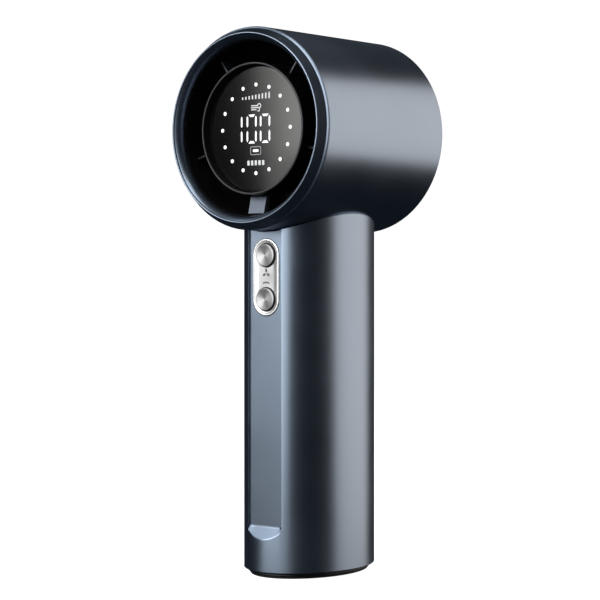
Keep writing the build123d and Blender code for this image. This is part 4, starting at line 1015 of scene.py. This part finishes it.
class BLOWER_OT_grip(bpy.types.Operator):
    """Makes the oval sleeve with its sunk thumb panel, scoop and openings"""

    bl_idname = "blower.grip"
    bl_label = "Grip"

    def columns(self, sizes):
        """Columns round the sleeve as (x and y on the oval, x and y where the panel is sunk, inner x and y)."""
        half, edge = sizes.panel_half_width, sizes.edge
        fillet = 0.18 * MM
        wall, back = 1.6 * MM, 1.3 * MM

        def on_oval(x):
            return -GRIP_Y * sqrt(1 - (x / GRIP_X) ** 2)

        def inside(x, y):
            return x * (GRIP_X - wall) / GRIP_X, max(y * (GRIP_Y - wall) / GRIP_Y, FLAT_Y + back)

        made = []
        steps = 20
        for k in range(steps + 1):
            x = (half - fillet) * (2 * k / steps - 1)
            made.append((x, on_oval(x), x, FLAT_Y))
        rim = on_oval(half)
        sides = [(half, rim, half, FLAT_Y - fillet), (half + 0.01 * MM, rim, half, rim + edge * 0.5)]
        made = [(-a, b, -c, d) for a, b, c, d in sides[::-1]] + made + sides
        start = asin((half + edge) / GRIP_X)
        count = 180
        for k in range(count + 1):
            t = start + (ALL_ROUND - 2 * start) * k / count
            x, y = GRIP_X * sin(t), -GRIP_Y * cos(t)
            made.append((x, y, x, y))
        return [(*c, *inside(c[0], c[1])) for c in made]

    def execute(self, context):
        sizes = context.scene.blower_sizes
        half, edge, foot = sizes.panel_half_width, sizes.edge, sizes.panel_foot
        fillet = 0.45 * MM
        shrink = 1 - edge / GRIP_X
        below, above = CAPSULE_Z - CAPSULE_H - 1.2 * MM, CAPSULE_Z + CAPSULE_H + 1.0 * MM
        bm = bmesh.new()
        rings = []
        for ox, oy, sx, sy, ix, iy in self.columns(sizes):
            share = min(abs(ox) / half, 1.0) if oy < 0 and abs(ox) <= half * 1.01 else 1.0
            mouth = foot - sizes.scoop * sqrt(1 - share ** 2)
            low, high = mouth - edge, mouth + edge
            if sx == ox and sy == oy:
                high_xy = ramp_xy = (ox, oy)
            else:
                slope = (FLAT_Y - oy) / max(foot - mouth, 2 * edge)
                high_xy = (sx, min(oy + slope * edge, sy))
                ramp_xy = (sx, min(oy + slope * (foot - fillet - mouth), sy))
            ramp_z = max(foot - fillet, high + 0.02 * MM)
            top = saddle_z(sx, sizes.seam)
            path = [
                (ox * shrink, oy * shrink, GRIP_FOOT), (ox, oy, GRIP_FOOT + edge), (ox, oy, low),
                (*high_xy, high), (*ramp_xy, ramp_z), (sx, sy, ramp_z + 2 * fillet),
                (sx, sy, below), (sx, sy, above), (sx, sy, top - edge), (sx * shrink, sy * shrink, top),
                (ix, iy, saddle_z(ix, sizes.seam)), (ix, iy, above), (ix, iy, below), (ix, iy, GRIP_FOOT),
            ]
            rings.append([bm.verts.new(p) for p in path])
        for a, b in zip(rings, rings[1:] + rings[:1]):
            for k in range(len(a)):
                j = (k + 1) % len(a)
                bm.faces.new((a[k], b[k], b[j], a[j]))
        sleeve = object_from("grip_sleeve", bm)
        gap = 0.15 * MM
        opening = stadium(CAPSULE_W + gap, CAPSULE_H + gap, CAPSULE_Z)
        cut(sleeve, slab("capsule cutter", opening, FLAT_Y - 4 * MM, FLAT_Y + 4 * MM))
        usb_low, usb_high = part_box("usb_shell")
        reach = usb_high.x + gap
        z0, z1 = usb_low.z - gap, usb_high.z + gap
        corners = ((-reach, z0), (-reach, z1), (reach, z1), (reach, z0))
        slot = rounded([(x, z, 1.3 * MM) for x, z in corners], 6)
        cut(sleeve, slab("inlet cutter", slot, GRIP_Y - 4 * MM, GRIP_Y + 4 * MM))
        settle(soften(sleeve, 0), FINISH["anodised"], "casing", ["handle_shell"])
        return {"FINISHED"}


class BLOWER_OT_buttons(bpy.types.Operator):
    """Makes the polished ring, the satin plate, the two spun buttons and the printed signs"""

    bl_idname = "blower.buttons"
    bl_label = "Buttons"

    def execute(self, context):
        wall = 0.65 * MM
        ring = slab(
            "button_ring", stadium(CAPSULE_W, CAPSULE_H, CAPSULE_Z, 128), capsule_low.y, capsule_high.y, 0.1 * MM,
            stadium(CAPSULE_W - wall, CAPSULE_H - wall, CAPSULE_Z, 128),
        )
        settle(ring, FINISH["polished"], "casing", ["button_bezel"])
        plate = self.dished_plate()
        for node, body in (("upper_button", "upper_button"), ("lower_button", "lower_button")):
            z = button_centre(node)
            bm = bmesh.new()
            bmesh.ops.create_cone(
                bm, cap_ends=True, segments=96, radius1=BUTTON_HOLE_R, radius2=BUTTON_HOLE_R, depth=6 * MM,
                matrix=Matrix.Translation((0, plate_low.y, z)) @ Matrix.Rotation(pi / 2, 4, "X"),
            )
            cut(plate, object_from("hole cutter", bm))
        settle(soften(plate, 0.06 * MM, 2, 40), FINISH["satin"], "casing", ["button_plate"])
        for node, finish in (("upper_button", "upper spun"), ("lower_button", "lower spun")):
            self.button(node, FINISH[finish])
        self.signs()
        return {"FINISHED"}

    def dished_plate(self):
        """The plate between the buttons: its border rises towards the ring."""
        width, height = plate_high.x, (plate_high.z - plate_low.z) / 2
        border, rise = 1.45 * MM, 0.2 * MM
        bm = bmesh.new()
        rings = []
        for inset, y in ((0, plate_high.y), (0, plate_low.y - rise), (border, plate_low.y)):
            outline = stadium(width - inset, height - inset, CAPSULE_Z, 128)
            rings.append([bm.verts.new((x, y, z)) for x, z in outline])
        skin(bm, rings)
        bm.faces.new(rings[0])
        bm.faces.new(rings[-1])
        return object_from("button_face", bm)

    def button(self, node, finish):
        """One dished button with a turned edge, its flange and its stem."""
        low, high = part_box(node)
        z = button_centre(node)
        radius = BUTTON_R
        front = low.y
        face_end = front + 0.3 * MM
        outline = [(face_end, 0), (front + 0.24 * MM, 0)]
        for k in range(1, 9):
            share = k / 8
            outline.append((front + 0.24 * MM * (1 - share ** 1.6), share * (radius - 0.55 * MM)))
        outline += rounded([
            (front, radius - 0.5 * MM, 0), (front, radius - 0.14 * MM, 0.12 * MM),
            (face_end, radius - 0.06 * MM, 0),
        ], 3)
        skirt = rounded([
            (face_end, 0, 0), (face_end, radius, 0.1 * MM), (high.y - 1.4 * MM, radius, 0),
            (high.y - 1.4 * MM, high.x, 0.1 * MM), (high.y - 0.7 * MM, high.x, 0.1 * MM),
            (high.y - 0.7 * MM, 1.0 * MM, 0), (high.y, 1.0 * MM, 0.1 * MM), (high.y, 0, 0),
        ], 3)
        for name, shape, look, slot, nodes in (
            (f"{node}_cap", outline, finish, "spun_metal", [node]),
            (f"{node}_skirt", skirt, FINISH["chip"], "component_black", None),
        ):
            piece = lathe(name, shape, 128)
            piece.data.transform(Matrix.Translation((0, 0, z - AXIS_Z)))
            settle(soften(piece, 0), look, node, nodes)

    def signs(self):
        """A three-bladed fan and a bow, printed between the buttons."""
        bm = bmesh.new()
        y = plate_low.y

        def printed(points):
            back = [bm.verts.new((a, y + 0.02 * MM, b)) for a, b in points]
            face = [bm.verts.new((a, y - 0.03 * MM, b)) for a, b in points]
            bm.faces.new(face)
            bm.faces.new(back[::-1])
            skin(bm, (back, face))

        middle = CAPSULE_Z + 1.2 * MM
        for k in range(3):
            turn = radians(90 + 120 * k)
            petal = []
            for j in range(18):
                t = ALL_ROUND * j / 18
                along = 0.85 * MM + 0.62 * MM * cos(t)
                side = 0.4 * MM * sin(t)
                petal.append((along * cos(turn) - side * sin(turn), middle + along * sin(turn) + side * cos(turn)))
            printed(petal)
        printed(ribbon_path(0, CAPSULE_Z - 3.9 * MM, 2.4 * MM, 59, 121, 0.42 * MM, 14))
        settle(object_from("button_signs", bm, False), FINISH["print"], "casing", ["button_icons"])


class BLOWER_OT_base(bpy.types.Operator):
    """Makes the dark base plug and the rubber foot"""

    bl_idname = "blower.base"
    bl_label = "Base"

    def execute(self, context):
        around = 192
        bx, by = base_high.x, base_high.y
        z0, z1 = base_low.z, GRIP_FOOT + 0.02 * MM
        round_edge = 0.3 * MM
        layers = []
        for k in range(6):
            a = radians(90 * k / 5)
            inset = round_edge * (1 - sin(a))
            layers.append((oval(bx - inset, by - inset), z0 + round_edge * (1 - cos(a))))
        layers += [(oval(bx, by), z1 - 0.3 * MM), (oval(bx - 0.25 * MM, by - 0.25 * MM), z1 - 0.25 * MM),
                   (oval(bx - 0.25 * MM, by - 0.25 * MM), z1)]
        layers += [(oval(bx - 0.25 * MM, by - 0.25 * MM), base_high.z - 0.7 * MM)]
        plug = stack("base_plug", layers, around)
        settle(soften(plug, 0), FINISH["base"], "casing", ["base_cap"])
        px, py = pad_high.x, pad_high.y
        layers = []
        soft = 0.45 * MM
        for k in range(6):
            a = radians(90 * k / 5)
            inset = soft * (1 - sin(a))
            layers.append((oval(px - inset, py - inset), soft * (1 - cos(a))))
        layers.append((oval(px, py), pad_high.z))
        foot = stack("rubber_foot", layers, around)
        settle(soften(foot, 0), FINISH["rubber"], "casing", ["foot_pad"])
        return {"FINISHED"}


INNER = {
    "steel": ["bearing_outer_races", "bearing_inner_races", "bearing_balls", "motor_shaft", "neck_screws",
              "chassis_studs", "base_screws"],
    "magnet": ["rotor_magnet"],
    "lamination": ["stator_core"],
    "copper": ["stator_coils"],
    "rubber": ["rear_isolator", "front_isolator"],
    "chip": ["light_mask", "tact_switches", "control_components", "usb_tongue"],
    "board": ["display_board", "button_board", "charge_board", "control_board"],
    "white": ["display_leds"],
    "frame": ["chassis", "neck_bracket"],
    "wrap": ["front_cell", "rear_cell"],
    "nickel": ["cell_tabs", "usb_shell"],
    "wire": ["motor_leads", "battery_leads", "charge_leads"],
    "film": ["display_ribbon", "button_ribbon"],
}


class BLOWER_OT_inner(bpy.types.Operator):
    """Gives the motor, the cells, the boards and the wiring their finishes, and the inlet its contacts"""

    bl_idname = "blower.inner"
    bl_label = "Inner pieces"

    def execute(self, context):
        for finish, nodes in INNER.items():
            for name in nodes:
                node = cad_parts[name]
                node.data.materials.clear()
                node.data.materials.append(FINISH[finish])
        tongue_low, tongue_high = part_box("usb_tongue")
        middle = (tongue_low.z + tongue_high.z) / 2
        front = tongue_high.y
        bm = bmesh.new()
        for side in (1, -1):
            for k in range(12):
                x = (k - 5.5) * 0.5 * MM
                z = middle + side * 0.35 * MM
                made = bmesh.ops.create_cube(bm, size=1.0)["verts"]
                for v in made:
                    v.co = Vector((
                        x + v.co.x * 0.26 * MM, front - 1.6 * MM + v.co.y * 2.2 * MM, z + v.co.z * 0.06 * MM
                    ))
        settle(object_from("inlet_contacts", bm, False), FINISH["nickel"], "casing")
        return {"FINISHED"}


# ------------------------------------------------------------------ studio
def softbox(name, azimuth, elevation, distance, width, height, power, colour, target):
    """An area light that faces the target. Azimuth 0 is on the display's side, in degrees."""
    a, e = radians(azimuth), radians(elevation)
    away = Vector((sin(a) * cos(e), -cos(a) * cos(e), sin(e)))
    light = bpy.data.lights.new(name, "AREA")
    light.shape = "RECTANGLE"
    light.size = width
    light.size_y = height
    light.energy = power
    light.color = colour
    obj = link(bpy.data.objects.new(name, light))
    obj.location = target + away * distance
    obj.rotation_euler = away.to_track_quat("Z", "Y").to_euler()
    obj.visible_camera = False
    return obj


class BLOWER_OT_studio(bpy.types.Operator):
    """Makes the pale sweep, the softboxes and the camera"""

    bl_idname = "blower.studio"
    bl_label = "Studio"

    def execute(self, context):
        stage = context.scene.blower_stage
        self.sweep()
        middle = Vector((0, 0, 0.09))
        white, warm, cool = (1.0, 0.99, 0.97), (1.0, 0.9, 0.81), (0.93, 0.97, 1.0)
        softbox("key", -4, 17, 0.9, 1.26, 0.88, stage.key_power, white, middle)
        softbox("glint", -29, 17, 1.0, 0.26, 0.46, stage.glint_power, white, middle)
        softbox("left fill", -60, 40, 0.9, 0.42, 0.5, stage.fill_power, cool, middle)
        softbox("front top", 8, 54, 0.9, 0.6, 0.3, stage.top_power, white, middle)
        softbox("rear top", 168, 62, 0.9, 0.8, 0.2, 0.35 * stage.top_power, white, middle)
        softbox("rim", 138, 11, 0.9, 1.06, 0.9, stage.rim_power, warm, middle)
        self.world(context.scene)
        self.camera(context.scene, stage)
        return {"FINISHED"}

    def sweep(self):
        """A round floor that curves up into a wall all round."""
        bm = bmesh.new()
        outline = [(0.0, 0.0), (1.2, 0.0)]
        outline += [(1.2 + 1.3 * sin(radians(a)), 1.3 * (1 - cos(radians(a)))) for a in range(10, 91, 10)]
        outline.append((2.5, 4.0))
        turn_outline(bm, [(z, radius) for radius, z in outline], lambda z, x, y: (x, y, z), 96, False)
        floor = object_from("studio_sweep", bm)
        floor.data.flip_normals()
        made, tree, shader = material("pale sweep")
        cloud = grain(tree, 3.0, 2.0)
        tree.links.new(tint(tree, cloud, (0.86, 0.86, 0.86), (0.90, 0.90, 0.90)), shader.inputs["Base Color"])
        shader.inputs["Roughness"].default_value = 0.9
        shader.inputs["Specular IOR Level"].default_value = 0.0
        shader.inputs["Emission Color"].default_value = (1, 1, 1, 1)
        shader.inputs["Emission Strength"].default_value = 1.0
        self.see_through_from_below(tree, shader)
        floor.location.z = -0.3 * MM
        floor.data.materials.append(made)
        floor.visible_glossy = False
        floor.visible_diffuse = False
        floor.visible_shadow = False

    def see_through_from_below(self, tree, shader):
        """Lets a camera under the floor look at the foot."""
        side = tree.nodes.new("ShaderNodeNewGeometry")
        clear = tree.nodes.new("ShaderNodeBsdfTransparent")
        mix = tree.nodes.new("ShaderNodeMixShader")
        tree.links.new(side.outputs["Backfacing"], mix.inputs["Fac"])
        tree.links.new(shader.outputs["BSDF"], mix.inputs[1])
        tree.links.new(clear.outputs["BSDF"], mix.inputs[2])
        tree.links.new(mix.outputs["Shader"], tree.nodes["Material Output"].inputs["Surface"])

    def world(self, scene):
        """A dim even surround, so that unlit reflections stay dark."""
        world = bpy.data.worlds.new("dim surround")
        world.use_nodes = True
        background = world.node_tree.nodes["Background"]
        background.inputs["Color"].default_value = (0.5, 0.7, 1.0, 1)
        background.inputs["Strength"].default_value = 0.02
        scene.world = world
        scene.view_settings.view_transform = "Standard"

    def camera(self, scene, stage):
        """A level camera at the grip's side, a little above its middle."""
        lens = bpy.data.cameras.new("camera")
        lens.lens = stage.focal
        lens.sensor_width = 36.0
        lens.clip_start = 0.01
        lens.shift_x = -0.0163
        lens.shift_y = -0.0535
        camera = link(bpy.data.objects.new("camera", lens))
        away = Vector((sin(stage.azimuth), -cos(stage.azimuth), 0))
        camera.location = away * stage.distance + Vector((0, 0, stage.eye_height))
        camera.rotation_euler = away.to_track_quat("Z", "Y").to_euler()
        scene.camera = camera


# ------------------------------------------------------------------ add-on
STEPS = (
    BLOWER_OT_head, BLOWER_OT_intake, BLOWER_OT_display, BLOWER_OT_fan, BLOWER_OT_grip, BLOWER_OT_buttons,
    BLOWER_OT_base, BLOWER_OT_inner, BLOWER_OT_studio,
)


class BLOWER_PT_panel(bpy.types.Panel):
    """Lists the blower's settings and steps."""

    bl_idname = "BLOWER_PT_panel"
    bl_label = "Jet blower"
    bl_space_type = "VIEW_3D"
    bl_region_type = "UI"
    bl_category = "Blower"

    def draw(self, context):
        for group in (context.scene.blower_looks, context.scene.blower_sizes, context.scene.blower_stage):
            box = self.layout.box()
            for name in group.__annotations__:
                box.prop(group, name)
        for step in STEPS:
            self.layout.operator(step.bl_idname)


GROUPS = {"blower_looks": BlowerLooks, "blower_sizes": BlowerSizes, "blower_stage": BlowerStage}


def register():
    """Registers the settings, the steps and the panel."""
    for name, group in GROUPS.items():
        bpy.utils.register_class(group)
        setattr(bpy.types.Scene, name, PointerProperty(type=group))
    for step in STEPS:
        bpy.utils.register_class(step)
    bpy.utils.register_class(BLOWER_PT_panel)


def unregister():
    """Takes the panel, the steps and the settings away again."""
    bpy.utils.unregister_class(BLOWER_PT_panel)
    for step in reversed(STEPS):
        bpy.utils.unregister_class(step)
    for name, group in GROUPS.items():
        delattr(bpy.types.Scene, name)
        bpy.utils.unregister_class(group)


def main():
    """Builds every piece, the finishes and the studio."""
    register()
    FINISH.update(make_finishes(bpy.context.scene.blower_looks))
    bpy.ops.blower.head()
    bpy.ops.blower.intake()
    bpy.ops.blower.display()
    bpy.ops.blower.fan()
    bpy.ops.blower.grip()
    bpy.ops.blower.buttons()
    bpy.ops.blower.base()
    bpy.ops.blower.inner()
    bpy.ops.blower.studio()


if __name__ == "__main__":
    main()
